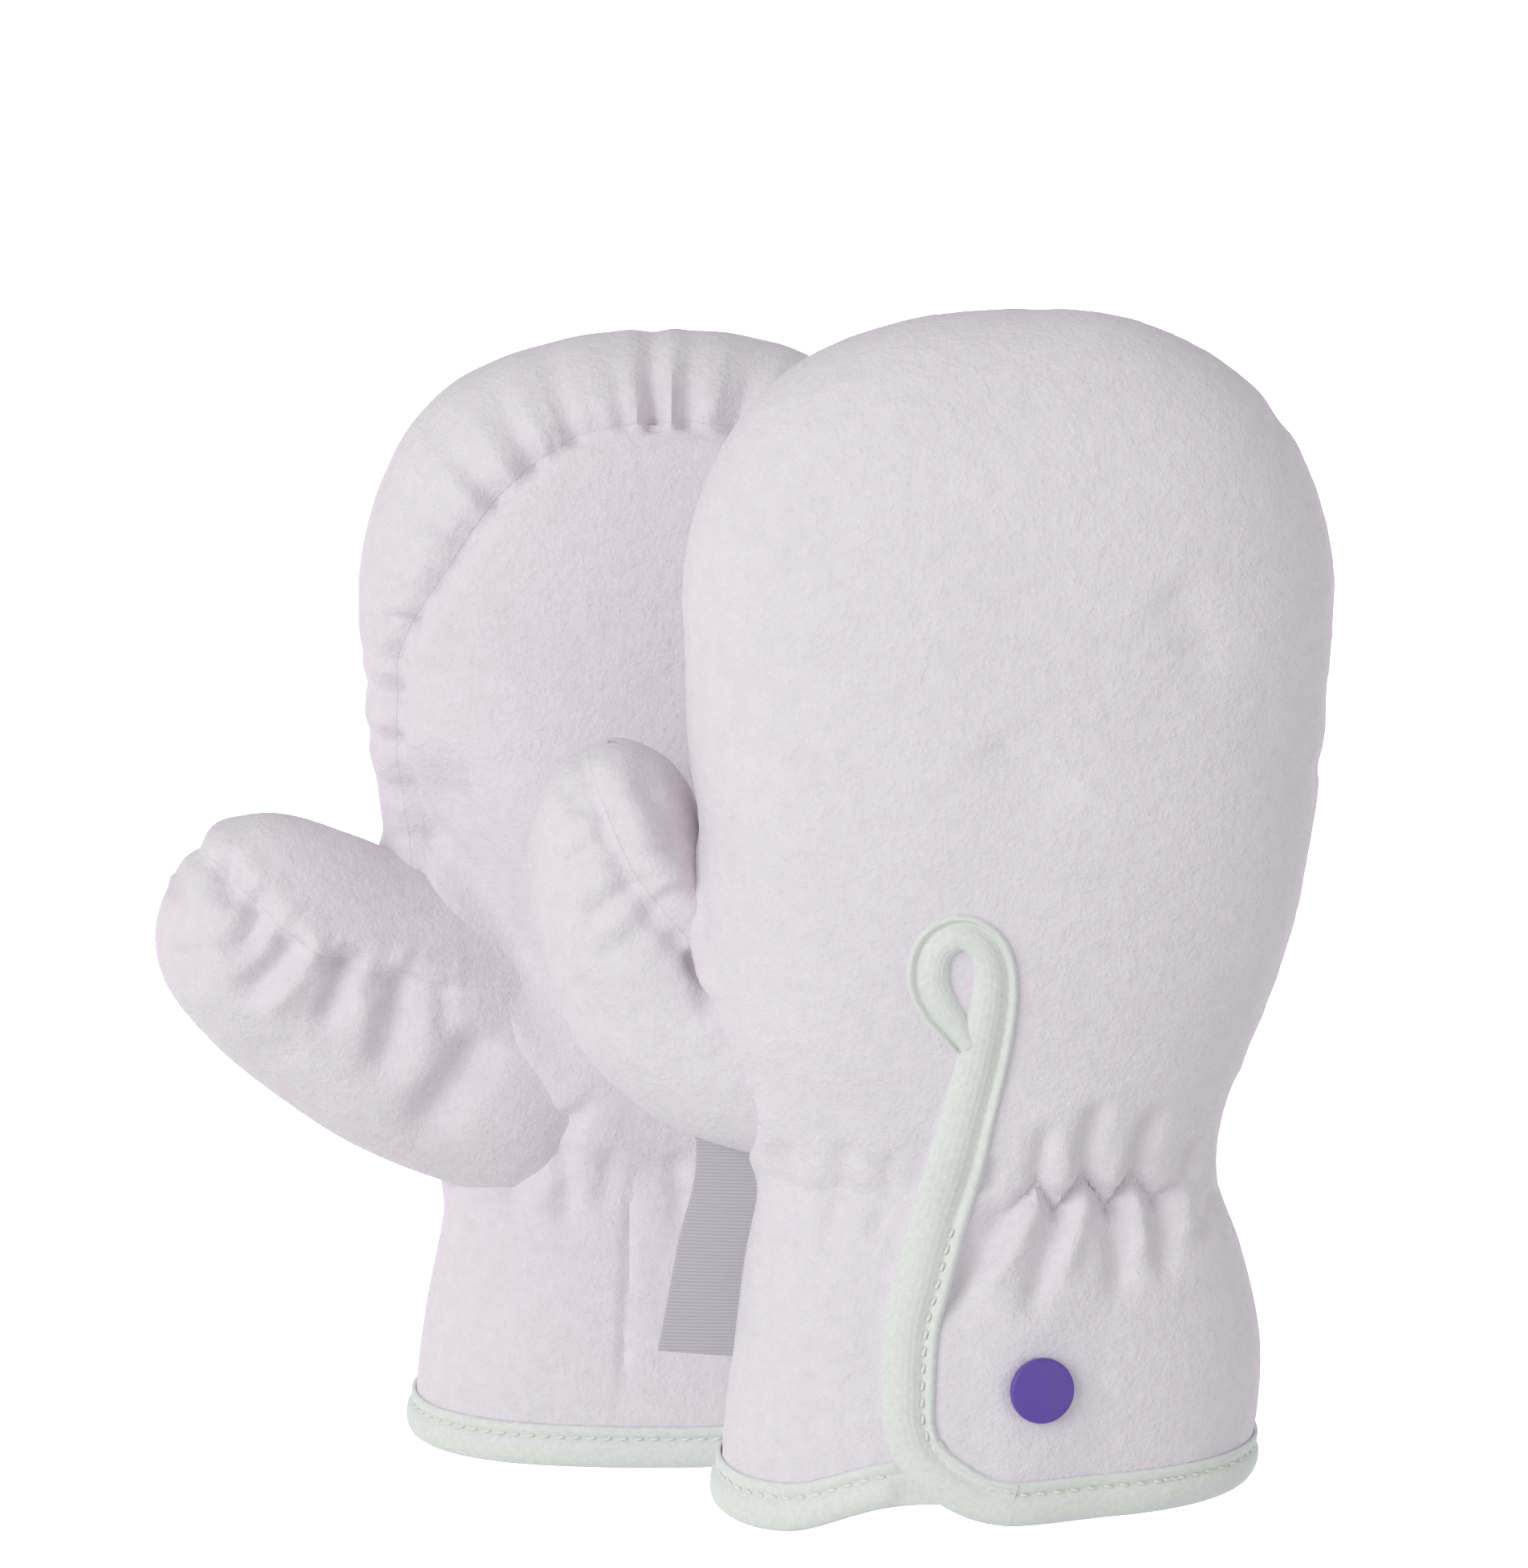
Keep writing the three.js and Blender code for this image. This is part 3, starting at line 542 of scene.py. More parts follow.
thumb_roundness = 2.3


def thumb_skin(mitten, grow, ring_count, sides):
    """A tube along the thumb's middle line, rounded off over the tip."""
    tip_start = mitten["thumb_tip_start"]
    at = np.linspace(0, 1, ring_count + 1)
    tip_share = np.maximum(at - tip_start, 0) / (1 - tip_start)
    bend = np.minimum(at, tip_start) + (1 - tip_start) * np.sin(0.5 * np.pi * tip_share)
    line = spline_points(mitten["thumb"], bend)
    centre = upright(mitten, line)
    ahead = spline_points(mitten["thumb"], np.minimum(bend + 0.002, 1))
    behind = spline_points(mitten["thumb"], np.maximum(bend - 0.002, 0))
    along = upright(mitten, ahead - behind)
    along /= np.linalg.norm(along, axis=1)[:, None]
    across = np.stack([-along[:, 2], np.zeros(len(at)), along[:, 0]], axis=-1)
    across /= np.linalg.norm(across, axis=1)[:, None]
    share = np.maximum(bend - tip_start, 0) / (1 - tip_start)
    rounded = np.maximum(1 - share**thumb_roundness, 0) ** (1 / thumb_roundness)
    centre = centre + along * (grow * smooth(tip_start, 1, bend))[:, None]
    turn = 2 * np.pi * (np.arange(sides + 1) % sides) / sides
    wide = ((line[:, 3] + grow) * rounded)[:, None]
    deep = ((line[:, 4] + grow) * rounded)[:, None]
    rings = centre[:, None, :] + across[:, None, :] * (wide * np.cos(turn))[..., None]
    rings[..., 1] += deep * np.sin(turn)
    cap = np.repeat(rings[:1].mean(axis=1, keepdims=True), sides + 1, axis=1)
    return skin_object("thumb", mitten, np.concatenate([cap, rings], axis=0), False)


# Creases are strokes on the cloth: half width, depth (a negative one is a ridge), and the X and
# Z of each point, in millimetres. The whole wall follows them, so it keeps its thickness.
def line_place(x, z, points):
    """How far points lie from a line, on which side of it, and the share of its run."""
    points = np.asarray(points, float)
    place = np.stack([x, z], axis=-1)
    lengths = np.linalg.norm(np.diff(points, axis=0), axis=1)
    best = np.full(len(x), 1e9)
    side = np.ones(len(x))
    run = np.zeros(len(x))
    before = 0.0
    for k, length in enumerate(lengths):
        step = points[k + 1] - points[k]
        away = place - points[k]
        share = np.clip((away @ step) / length**2, 0, 1)
        distance = np.linalg.norm(away - share[:, None] * step, axis=1)
        nearer = distance < best
        best = np.where(nearer, distance, best)
        side = np.where(nearer, np.sign(away[:, 0] * step[1] - away[:, 1] * step[0]), side)
        run = np.where(nearer, (before + share * length) / lengths.sum(), run)
        before += length
    return best, side, run


def stroke_amount(x, z, points, width, depth):
    """A soft-sided groove that fades out towards both ends of its line."""
    distance, _, run = line_place(x, z, points)
    ends = smooth(0, 0.18, run) * (1 - smooth(0.62, 1, run))
    return depth * np.exp(-((distance / width) ** 2)) * ends


def press(piece, mitten, strokes_by_side, middle, lift):
    """Lifts the cloth, both faces alike, and presses each side's strokes into it."""
    points, normals = mesh_points(piece)
    place = points / MM - mitten["place"]
    centre = middle(place)
    outward = np.sign(np.einsum("ij,ij->i", normals, place - centre))
    outward[outward == 0] = 1
    rise = lift(mitten, place)
    for facing, strokes in strokes_by_side:
        facing_it = smooth(-1.0, 3.0, (place[:, 1] - centre[:, 1]) * facing)
        for width, depth, *line in strokes:
            line = np.reshape(line, (-1, 2))
            amount = stroke_amount(place[:, 0], place[:, 2], line, width, depth)
            rise = rise - facing_it * amount
    set_points(piece, points + normals * (outward * rise)[:, None] * MM)


def hand_middle(mitten):
    def middle(place):
        level = np.clip(place[:, 2], 0, pole_height)
        x = sum(hand_edges(mitten, level)) / 2
        return np.stack([x, np.zeros(len(place)), level], axis=-1)
    return middle


# On the left palm, the inner edge of the thumb folds in two long lines, and small gathers run
# from the thumb's root to the cuff.
left["palm_strokes"] = [
    (6.5, 3.6, -33, 98, -27.2, 88, -23.7, 81.5, -20.2, 75.4, -16.8, 69.4, -13.5, 60, -11, 48),
    (3.2, 2.4, -36, 88, -31, 83.5, -26.5, 78.5, -22, 72.5, -18, 66, -15, 58),
    (1.5, 1.7, -24, 37, -18.5, 40.5, -13.5, 44.5, -8.7, 49, -5, 52),
    (1.3, 0.9, -24, 33, -18, 36.5, -12, 40.5), (1.4, 0.8, -26, 48, -20, 51, -15, 55),
    (1.3, 1, -20, 41, -18.5, 36, -19, 31), (1.5, 1.1, -12, 44, -11, 38, -12, 31),
    (1.2, 0.6, -5, 44, -6, 38, -6.5, 33), (0.8, 0.8, -1.8, 41, -2.7, 36, -3.2, 23, -4.2, 4),
    (1.5, 0.9, 3, 43, 4, 36, 3.5, 30), (1.5, 0.8, 12, 43, 12.6, 37, 12, 31),
    (1.4, 0.8, 20, 42, 21, 36, 21, 31),
    (1.2, 0.3, -28, 40.5, -18, 40, -6, 40.6, 8, 40, 20, 40.5, 31, 40),
]
right["palm_strokes"] = [
    (5, 2.2, -33, 92, -28, 83, -22, 74, -16, 64), (1.8, 1.4, -33, 79, -26, 74, -20, 67, -15, 61),
    (1.4, 1.4, -22, 40, -16, 43, -11, 47, -7, 51), (1.4, 1, -26, 48, -20, 51, -15, 55),
    (1.5, 1, -12, 45, -11, 38, -11.5, 31), (0.8, 0.8, -2.4, 40, -3.2, 26, -4.2, 8),
    (1.5, 0.9, 4, 44, 5, 37, 4.5, 31), (1.5, 0.8, 13, 43, 13.6, 37, 13, 31),
    (1.4, 0.8, 21, 42, 22, 36, 22, 31),
    (1.2, 0.3, -28, 40.5, -18, 40, -6, 40.6, 8, 40, 20, 40.5, 31, 40),
]


# Creases in the backs, where elastic in the wrist draws the flap side into a zigzag of folds.
zigzag = [(-0.9, 41.5), (1.1, 38.2), (5.8, 42.3), (8.6, 38.6), (11.9, 42.6), (15.2, 38.3),
          (17.9, 42.1), (21, 38.9), (24.6, 40.6), (29, 38.9)]
back_strokes = [
    # the stitched line of the elastic
    (0.9, 1.1, *sum(zigzag, ())), (0.9, 1.1, *sum(zigzag[::-1], ())),
    # folds above it
    (1.3, 1.4, 5.8, 42, 5.8, 44.5, 6.6, 48.5, 7.4, 51.5),
    (1.5, 1.7, 11.9, 42.4, 11.7, 46, 12.6, 50, 13.8, 54),
    (1.4, 1.3, 17.9, 42, 18.5, 45.5, 20, 49.5, 21.6, 52.5),
    (1.3, 1.1, 24.6, 40.8, 25.4, 44, 26.8, 47.5), (1.2, 0.8, -0.9, 41.5, -0.4, 44, 0.6, 47),
    # folds below it
    (2.2, 2.2, 2.2, 39.6, -1.2, 35.2, -3.8, 31, -6.8, 25),
    (1.7, 1.9, 8.9, 39.8, 7.8, 36.8, 6.4, 32, 4.2, 25),
    (1.7, 1.7, 15.1, 39.6, 15.6, 36.8, 16.2, 32.5, 15.8, 26),
    (1.5, 1.5, 20.9, 40, 21.2, 37, 21.8, 33, 22.2, 28), (1.3, 1, 28.4, 39, 28, 36, 27.6, 32),
    # puffed cloth between them
    (1.3, -1, 5.8, 41, 4, 37, 1.8, 33.2, -2, 28.5),
    (1.4, -1, 11.9, 41.4, 10.8, 37.5, 9.8, 34.5, 8.2, 29.5),
    (1.3, -0.9, 17.9, 40.9, 18.4, 37.8, 18.8, 34.8, 18.8, 31),
    (1.2, -0.7, 24.4, 39.8, 24.6, 36.8, 24.9, 33), (1.3, -0.6, 8.8, 41.5, 9, 44.5, 9.6, 47.5),
    (1.3, -0.6, 15, 41, 15.6, 44.5, 16.8, 48),
    # gathers on the thumb side
    (1.1, 0.9, -29, 40.2, -24, 39, -19, 40.2, -13.4, 40.2, -9.4, 39.9),
    (1.4, 1, -25, 39, -25.6, 43.5, -25, 47), (1.4, 1.1, -25.2, 39, -26, 35, -27, 31.5),
    (1.4, 0.9, -18.6, 40, -18.4, 44, -17.4, 48), (1.4, 1, -18.8, 40, -19.8, 36, -21, 32.5),
    (1.2, 0.7, -12.6, 40, -12.8, 43.5, -12, 46.5), (1.2, 0.7, -12.8, 40, -13.6, 37, -14.8, 34),
    # where the thumb joins, and a broad hollow above the slit
    (2.2, 1, -36, 66, -33, 60, -29, 54, -25, 49), (5, 0.7, -1, 100, 4, 94, 10, 90),
    (3.4, 0.7, 20, 118, 24, 112, 27, 104),
]


def add_node(tree, kind, sockets, **settings):
    node = tree.nodes.new("ShaderNode" + kind)
    for name, value in settings.items():
        setattr(node, name, value)
    wire(tree, node, sockets)
    return node


def noise(tree, scale, detail=2, roughness=0.5):
    place = add_node(tree, "TexCoord", {}).outputs["Object"]
    sockets = {"Vector": place, "Scale": scale, "Detail": detail, "Roughness": roughness}
    return add_node(tree, "TexNoise", sockets).outputs["Fac"]


def relief(tree, height, strength, distance, **below):
    """A bump from a pattern, laid over the bump that is given as Normal."""
    sockets = {"Height": height, "Strength": strength, "Distance": distance, **below}
    return add_node(tree, "Bump", sockets).outputs["Normal"]


def two_tones(tree, share, first, second):
    sockets = {"Fac": share, "Color1": (*first, 1), "Color2": (*second, 1)}
    return add_node(tree, "MixRGB", sockets).outputs["Color"]


# Short, dense nap: fine grain over small clumps, and a faint unevenness of colour.
fleece_color = (0.82, 0.77, 0.825)
fleece, tree = new_material("fleece", {
    "Roughness": 0.95, "Sheen Weight": 0.12, "Sheen Roughness": 0.5, "Specular IOR Level": 0.12,
})
grain, clumps, cloud = noise(tree, 1350, 4, 0.65), noise(tree, 420, 3, 0.7), noise(tree, 60)
part_cloud = add_node(tree, "Math", {0: cloud, 1: 0.3}, operation="MULTIPLY").outputs["Value"]
mottle = add_node(tree, "Math", {0: clumps, 1: 0.7, 2: part_cloud}, operation="MULTIPLY_ADD")
darker, paler = [[min(tint * part, 1) for part in fleece_color] for tint in (0.88, 1.12)]
clump_relief = relief(tree, clumps, 0.8, 0.0004)
wire(tree, tree.nodes["Principled BSDF"], {
    "Base Color": two_tones(tree, mottle.outputs["Value"], darker, paler),
    "Normal": relief(tree, grain, 0.85, 0.00025, Normal=clump_relief),
})
cloth_grain = 0.75
seam_spare = 3.0
seam_gap = 0.01

for mitten in mittens:
    wall = carve(hand_wall(mitten), thumb_skin(mitten, -cloth, 40, 40), "DIFFERENCE")
    mitten["wall"] = wall
    palm = copy_of(wall, mitten["name"] + "_palm_cloth")
    carve(palm, palm_cutter(mitten, -seam_spare), "INTERSECT")
    fine_net(palm, cloth_grain)
    mitten["strokes"] = [(-mitten["back"], mitten["palm_strokes"]), (mitten["back"], back_strokes)]
    press(palm, mitten, mitten["strokes"], hand_middle(mitten), seam_lift)
    carve(palm, palm_cutter(mitten, seam_gap), "INTERSECT")
    carve(palm, hem_cutter(mitten, tape_height - tape_overlap), "DIFFERENCE")
    finish_surface(palm, 50, fleece)
    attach(palm, "root")
    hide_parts(mitten["name"] + "_palm")

# The back panels: cut wider and longer than the palm, and slit from above the wrist to the hem.
# The cloth beyond the slit is a flap that lies over the other edge, 2 mm higher, down to a round
# corner. Elastic in the wrist draws the flap side into a zigzag of small folds.
slit_edge = np.array([
    [-3.8, 62.5], [-5.6, 53.5], [-7.8, 44.5], [-10.8, 34.5], [-12.9, 24.5],
    [-13, 15.5], [-11.4, 8.6], [-7.8, 3.9], [-2.6, 1], [2.5, 0],
])
slit_top = 62.0
slit_foot = 12
flap_reach = 13.0
flap_fade = 15.0
underlap = 9.0
flap_rise = 2.4


def slit_x(z):
    return read(slit_edge[::-1, ::-1], 1, z)


def flap_raise(x, z):
    """How far the flap stands off the cuff below it, next to the slit."""
    edge = slit_x(np.maximum(z, slit_foot))
    across = 1 - smooth(0, 1, (x - edge - flap_reach) / flap_fade)
    along = 1 - smooth(wrist_height + 4, slit_top - 4, z)
    return flap_rise * across * along


def run_lengths(line):
    """How far each place of a line is from its start."""
    return np.concatenate([[0], np.cumsum(np.linalg.norm(np.diff(line, axis=0), axis=1))])


def slit_curve(count):
    lengths = run_lengths(slit_edge)
    return smooth_line(lengths, slit_edge, np.linspace(0, lengths[-1], count))


def flap_cutter(mitten, margin):
    edge = slit_curve(60) + np.array([margin, 0])
    foot_x, head_x = edge[-1, 0], edge[0, 0]
    outline = [tuple(point) for point in edge]
    outline += [(foot_x, -15), (far_out, -15), (far_out, slit_top), (head_x, slit_top)]
    return prism_object(mitten, outline, 0, mitten["back"] * far_out)


def under_cutter(mitten):
    """What is cut from the back below the flap, save for the part that the flap overlaps."""
    heights = np.array([-15, 10, 20, 30, 40, 43, 46, 50, 56, slit_top])
    tuck = underlap * (1 - smooth(wrist_height, wrist_height + 7, heights))
    edge = list(zip(slit_x(np.maximum(heights, slit_foot)) + tuck, heights))
    outline = edge + [(far_out, slit_top), (far_out, -15)]
    return prism_object(mitten, outline, mitten["back"] * 0.15, mitten["back"] * far_out)


def back_surface(mitten, x, z, above):
    """Points over the back: X, Z and the height above the cloth, one for another."""
    def cloth_at(x, z):
        level = np.maximum(z, 0)
        thumb_edge, far_edge = hand_edges(mitten, level)
        half = (far_edge - thumb_edge) / 2
        reach = np.minimum(np.abs(x - (thumb_edge + far_edge) / 2) / half, 1)
        deep = read(mitten["sides"], 4, level) * (1 - reach**roundness) ** (1 / roundness)
        return np.stack([x, mitten["back"] * (deep + flap_raise(x, z)), z], axis=-1)
    step = 0.5
    slope_x = cloth_at(x + step, z) - cloth_at(x - step, z)
    slope_z = cloth_at(x, z + step) - cloth_at(x, z - step)
    outward = np.cross(slope_x, slope_z)
    outward *= np.sign(outward[..., 1:2] * mitten["back"])
    outward /= np.linalg.norm(outward, axis=-1, keepdims=True)
    return cloth_at(x, z) + outward * above[..., None]


for mitten in mittens:
    back = copy_of(mitten["wall"], mitten["name"] + "_back_cloth")
    carve(back, palm_cutter(mitten, seam_spare), "DIFFERENCE")
    carve(back, under_cutter(mitten), "DIFFERENCE")
    flap = hand_wall(mitten, flap_raise)
    carve(flap, palm_cutter(mitten, seam_spare), "DIFFERENCE")
    carve(flap, flap_cutter(mitten, 0.3), "INTERSECT")
    carve(back, flap, "UNION")
    fine_net(back, cloth_grain)
    press(back, mitten, mitten["strokes"], hand_middle(mitten), seam_lift)
    carve(back, palm_cutter(mitten, -seam_gap), "DIFFERENCE")
    carve(back, hem_cutter(mitten, tape_height - tape_overlap), "DIFFERENCE")
    finish_surface(back, 50, fleece)
    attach(back, "root")
    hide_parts(mitten["name"] + "_back")
    bpy.data.objects.remove(mitten["wall"], do_unlink=True)

# The thumbs: two halves of fleece, gathered into the seam that runs along the thumb, so that
# small folds lie square to it. The halves meet the hand in a crease all round the root. On the
# right thumb, the finger side rolls over the seam.
right["thumb_seam"] = [(-53, 100), (-50.5, 92.6), (-48.7, 88.5), (-46.6, 83.8), (-44.5, 79.5),
                       (-41.5, 75.2), (-37.3, 70.2), (-31, 64), (-24, 58)]
# the roll's height, place and width beyond the seam, and the dip's height and width
right["seam_roll"] = (2.3, 2.6, 2.5, -1.5, 1.6)
right["thumb_strokes"] = [
    (1.3, 1.2, -46.9, 84, -50.5, 81.5, -55.2, 78), (1.2, 0.8, -49.6, 91, -52, 88.5, -54.5, 87),
    (1.1, 0.6, -47.2, 86, -50, 86.6, -54, 86.8), (1.4, 0.9, -44, 78.5, -48, 75, -52.5, 71.5),
    (1.5, 0.8, -41, 74, -45, 70.5, -50, 67), (1.2, 0.8, -44.5, 80.5, -41, 81.5, -37.6, 81),
    (1.3, 0.7, -47.2, 86.5, -43.5, 87.8, -40, 87.6), (1.2, 0.7, -41.8, 76, -38.5, 76, -36, 74.5),
    (1.7, 1.2, -36.5, 70, -35.4, 65, -35.2, 60), (2, 0.6, -52, 66, -49, 61, -43, 57),
]
left["thumb_seam"] = [(-80, 85), (-62.2, 84), (-57.9, 82.9), (-54.4, 80.3), (-50.2, 76.6),
                      (-46.1, 73.2), (-40.9, 70), (-37.1, 69.8), (-33.2, 68.4), (-29.2, 66.7),
                      (-20, 65.4)]
left["seam_roll"] = (0.5, 2.4, 1.8, -0.8, 1.3)
left["thumb_strokes"] = [
    (1.9, 2, -56.2, 84, -55, 81, -56, 76.5),
    (1.9, 2.3, -51.4, 80.6, -51.2, 77, -52.6, 73.5, -56.5, 71.5),
    (2, 2.4, -46.2, 74.2, -47.4, 70.8, -50.4, 67.8, -55, 64.4),
    (1.9, -1.4, -42.4, 74.6, -44.6, 70.4, -48, 66.2, -52, 61.6),
    (1.8, 2.2, -40.8, 72.6, -40.2, 69, -41.2, 65, -43.5, 59.5),
    (1.2, 1, -37, 71.6, -38.6, 70.2, -40.6, 68.4),
    (3, 2.6, -33.4, 70.2, -32.4, 65.2, -34, 59.9, -36.2, 51),
    (1.8, -0.6, -36.8, 66, -37.4, 61, -38.5, 55), (1.6, 0.8, -27.5, 67, -26.6, 63, -27.6, 58),
    (3.2, 2.4, -21.5, 61, -23.6, 56, -27.5, 50, -33, 43),
    (1.5, 0.8, -62, 84, -62.5, 80, -64, 76.5), (1.7, 0.7, -62, 72, -60.5, 68, -61.5, 64.5),
    (2.2, 0.5, -45, 58, -50, 57, -55, 58),
]


def thumb_seam_line(mitten):
    return spline_points(mitten["thumb_seam"], np.linspace(0, 1, 40))


def thumb_cutter(mitten, margin):
    seam = thumb_seam_line(mitten) + margin * np.array([0.6, 0.8])
    end = seam[-1]
    outline = [tuple(point) for point in seam]
    outline += [(end[0] + 10, end[1]), (end[0] + 10, 130), (-100, 130), (-100, seam[0, 1])]
    return prism_object(mitten, outline, -far_out, far_out)


def thumb_lift(mitten, place):
    """The roll or valley at the thumb's seam, with fine gathers that fade away from it."""
    seam = thumb_seam_line(mitten)
    distance, side, run = line_place(place[:, 0], place[:, 2], seam)
    beyond = distance * -side * np.sign(seam[0, 1] - seam[-1, 1])
    rim_height, rim_place, rim_width, dip, dip_width = mitten["seam_roll"]
    length = np.linalg.norm(np.diff(seam, axis=0), axis=1).sum()
    fine = np.sin(run * length * 1.5) + 0.7 * np.sin(run * length * 2.2 + 1.2)
    profile = rim_height * np.exp(-(((beyond - rim_place) / rim_width) ** 2))
    profile = profile + dip * np.exp(-(((beyond + 0.5) / dip_width) ** 2))
    along = smooth(0.1, 0.36, run) * smooth(1, 0.85, run)
    return (profile + 0.14 * fine * np.exp(-((distance / 4) ** 2))) * along


def thumb_middle(mitten):
    line = upright(mitten, spline_points(mitten["thumb"], np.linspace(0, 1, 60)))

    def middle(place):
        distance = np.linalg.norm(place[:, None, ::2] - line[None, :, ::2], axis=2)
        return line[distance.argmin(axis=1)]
    return middle


thumb_grain = 0.65
for mitten in mittens:
    tube = thumb_skin(mitten, 0, 90, 96)
    carve(tube, thumb_skin(mitten, -cloth, 40, 40), "DIFFERENCE")
    fine_net(tube, thumb_grain)
    press(tube, mitten, [(-1, mitten["thumb_strokes"])], thumb_middle(mitten), thumb_lift)
    carve(tube, hand_outside(mitten, -mitten["thumb_root"]), "DIFFERENCE")
    cuts = (("finger_side", "INTERSECT", seam_gap), ("outer_side", "DIFFERENCE", -seam_gap))
    for half, operation, margin in cuts:
        thumb = copy_of(tube, f"{mitten['name']}_thumb_{half}_cloth")
        carve(thumb, thumb_cutter(mitten, margin), operation)
        finish_surface(thumb, 50, fleece)
        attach(thumb, "root")
        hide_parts(f"{mitten['name']}_thumb_{half}")
    bpy.data.objects.remove(tube, do_unlink=True)

# The binding: a ribbed stretch tape, folded over the slit's edge. Its outer half is rolled into
# a bead, and a row of stitches parts that from a narrow strip that lies flat on the fleece. It
# makes a loop at the slit's head, runs down the flap's edge and rounds the corner.
tape, tree = new_material("ribbed_tape", {
    "Roughness": 0.85, "Sheen Weight": 0.1, "Specular IOR Level": 0.2,
})
knit = noise(tree, 1500)
wire(tree, tree.nodes["Principled BSDF"], {
    "Base Color": two_tones(tree, knit, (0.68, 0.715, 0.69), (0.86, 0.89, 0.865)),
    "Normal": relief(tree, knit, 0.4, 0.00012),
})
roll_top = 1.35
roll_under = -1.7
rib_count = 13
section_count = 58

# x, height and half width of the roll's middle line, and the width to the strip's far side
roll_line = np.array([
    [2.5, 2.3, 2.2, 3.7], [-1.6, 3.2, 2.2, 3.7], [-6, 5.9, 2.3, 3.7], [-9.3, 8.8, 2.4, 3.8],
    [-10.8, 12.2, 2.4, 4], [-11.2, 16, 2.4, 4.2], [-10.9, 24.7, 2.5, 4.4],
    [-9.6, 30.6, 2.6, 4.5], [-7.6, 38, 2.6, 4.5], [-5.7, 44.8, 2.6, 4.5],
    [-4, 51.2, 2.5, 4.2], [-2.5, 57.2, 2.4, 4], [-1.4, 62.9, 2.3, 3.9],
    [-0.6, 68.4, 2, 3.5], [-1.2, 72.6, 1.8, 3.2], [-3.8, 74.7, 1.7, 3],
    [-6.6, 73.2, 1.8, 3.2], [-7.4, 69.6, 1.9, 3.3], [-6.3, 66.2, 1.8, 3.1],
    [-4.6, 63.6, 1.6, 2.6], [-3, 61, 1.3, 1.9],
])


def roll_section(half, strip_end):
    """Across and outward places round the tape's section, from under the roll to the strip."""
    turn = np.radians(np.linspace(-75, -332, section_count))
    ribs = 1 + 0.014 * np.cos(np.linspace(0, 2 * np.pi * rib_count, section_count))
    across = half * np.cos(turn) * ribs
    middle = (roll_top + roll_under) / 2
    outward = middle + (roll_top - roll_under) / 2 * np.sin(turn) * ribs
    strip = strip_end - half
    shares = np.array([0.06, 0.16, 0.26, 0.38, 0.52, 0.68, 0.84, 0.95, 1.0, 0.97, 0.6, 0.2])
    strip_out = [0.2, 0.12, 0.2, 0.5, 0.78, 0.86, 0.74, 0.46, 0.05, -0.4, -0.6, -0.9]
    across = np.concatenate([across, half + strip * shares])
    return across, np.concatenate([outward, strip_out])


def line_frame(line):
    """A direction along a line of X and Z, and the one across it, to its right."""
    along = np.gradient(line, axis=0)
    along /= np.linalg.norm(along, axis=1)[:, None]
    return along, np.stack([along[:, 1], -along[:, 0]], axis=-1)


def closed_rows(rows):
    """Rows round a section, each closed on its start, with an end cap drawn to its middle."""
    rows = np.concatenate([rows, rows[:, :1]], axis=1)
    ends = rows[[0, -1]].mean(axis=1, keepdims=True)
    first, last = np.repeat(ends, rows.shape[1], axis=1)
    return np.concatenate([first[None], rows, last[None]], axis=0)


def across_back(mitten, line, sections):
    """A section's points over the back at each place of a line, laid across it."""
    return [
        back_surface(mitten, x + way[0] * places, z + way[1] * places, heights)
        for (x, z), way, (places, heights) in zip(line, line_frame(line)[1], sections)
    ]


def roll_rows(mitten):
    line = spline_points(roll_line, np.linspace(0, 1, 260))
    return np.array(across_back(mitten, line[:, :2], [roll_section(*row) for row in line[:, 2:]]))


for mitten in mittens:
    bead = skin_object(mitten["name"] + "_binding", mitten, closed_rows(roll_rows(mitten)), False)
    finish_surface(bead, 60, tape)
    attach(bead, "root")
    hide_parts(mitten["name"] + "_slit_binding")


# Stitches: pale thread, in a row down the groove between the tape's roll and its strip. Each
# stitch is a short piece of thread with round ends, a little slanted, half sunk in the tape.
thread, _ = new_material("pale_thread", {
    "Base Color": (0.80, 0.83, 0.81, 1), "Roughness": 0.6, "Sheen Weight": 0.1,
})
stitch_step = 2.1
stitch_length = 1.3
stitch_half = 0.2
stitch_slant = 0.22
stitch_arch = 0.12
stitch_lift = 0.34
stitch_rings = 7
stitch_sides = 8


def add_stitches(shape, mitten, surface, middles, directions):
    """A closed stitch for each place of a line of X and Z: a short thread with round ends."""
    share = np.linspace(-1, 1, stitch_rings)[:, None]
    size = stitch_half * (1 - np.abs(share) ** 3) ** 0.5
    turn = 2 * np.pi * np.arange(stitch_sides) / stitch_sides
    aside = size * np.cos(turn)
    above = stitch_lift + stitch_arch * (1 - share**2) + size * np.sin(turn)
    for (x, z), (along_x, along_z) in zip(middles, directions):
        slant_x, slant_z = along_x + stitch_slant * along_z, along_z - stitch_slant * along_x
        grid_x = x + slant_x * share * stitch_length / 2 + slant_z * aside
        grid_z = z + slant_z * share * stitch_length / 2 - slant_x * aside
        points = (surface(grid_x, grid_z, above) + mitten["place"]) * MM
        rings = [[shape.verts.new(point) for point in ring] for ring in points]
        for ring, following in zip(rings, rings[1:]):
            for k in range(stitch_sides):
                after = (k + 1) % stitch_sides
                shape.faces.new((ring[k], ring[after], following[after], following[k]))


def evenly(line, step):
    """Places a step apart on a line of X and Z, with the line's direction at each."""
    lengths = run_lengths(line)
    at = np.arange(step / 2, lengths[-1], step)
    places, ways = [
        np.stack([np.interp(at, lengths, column) for column in values.T], axis=-1)
        for values in (line, line_frame(line)[0])
    ]
    return places, ways / np.linalg.norm(ways, axis=1)[:, None]


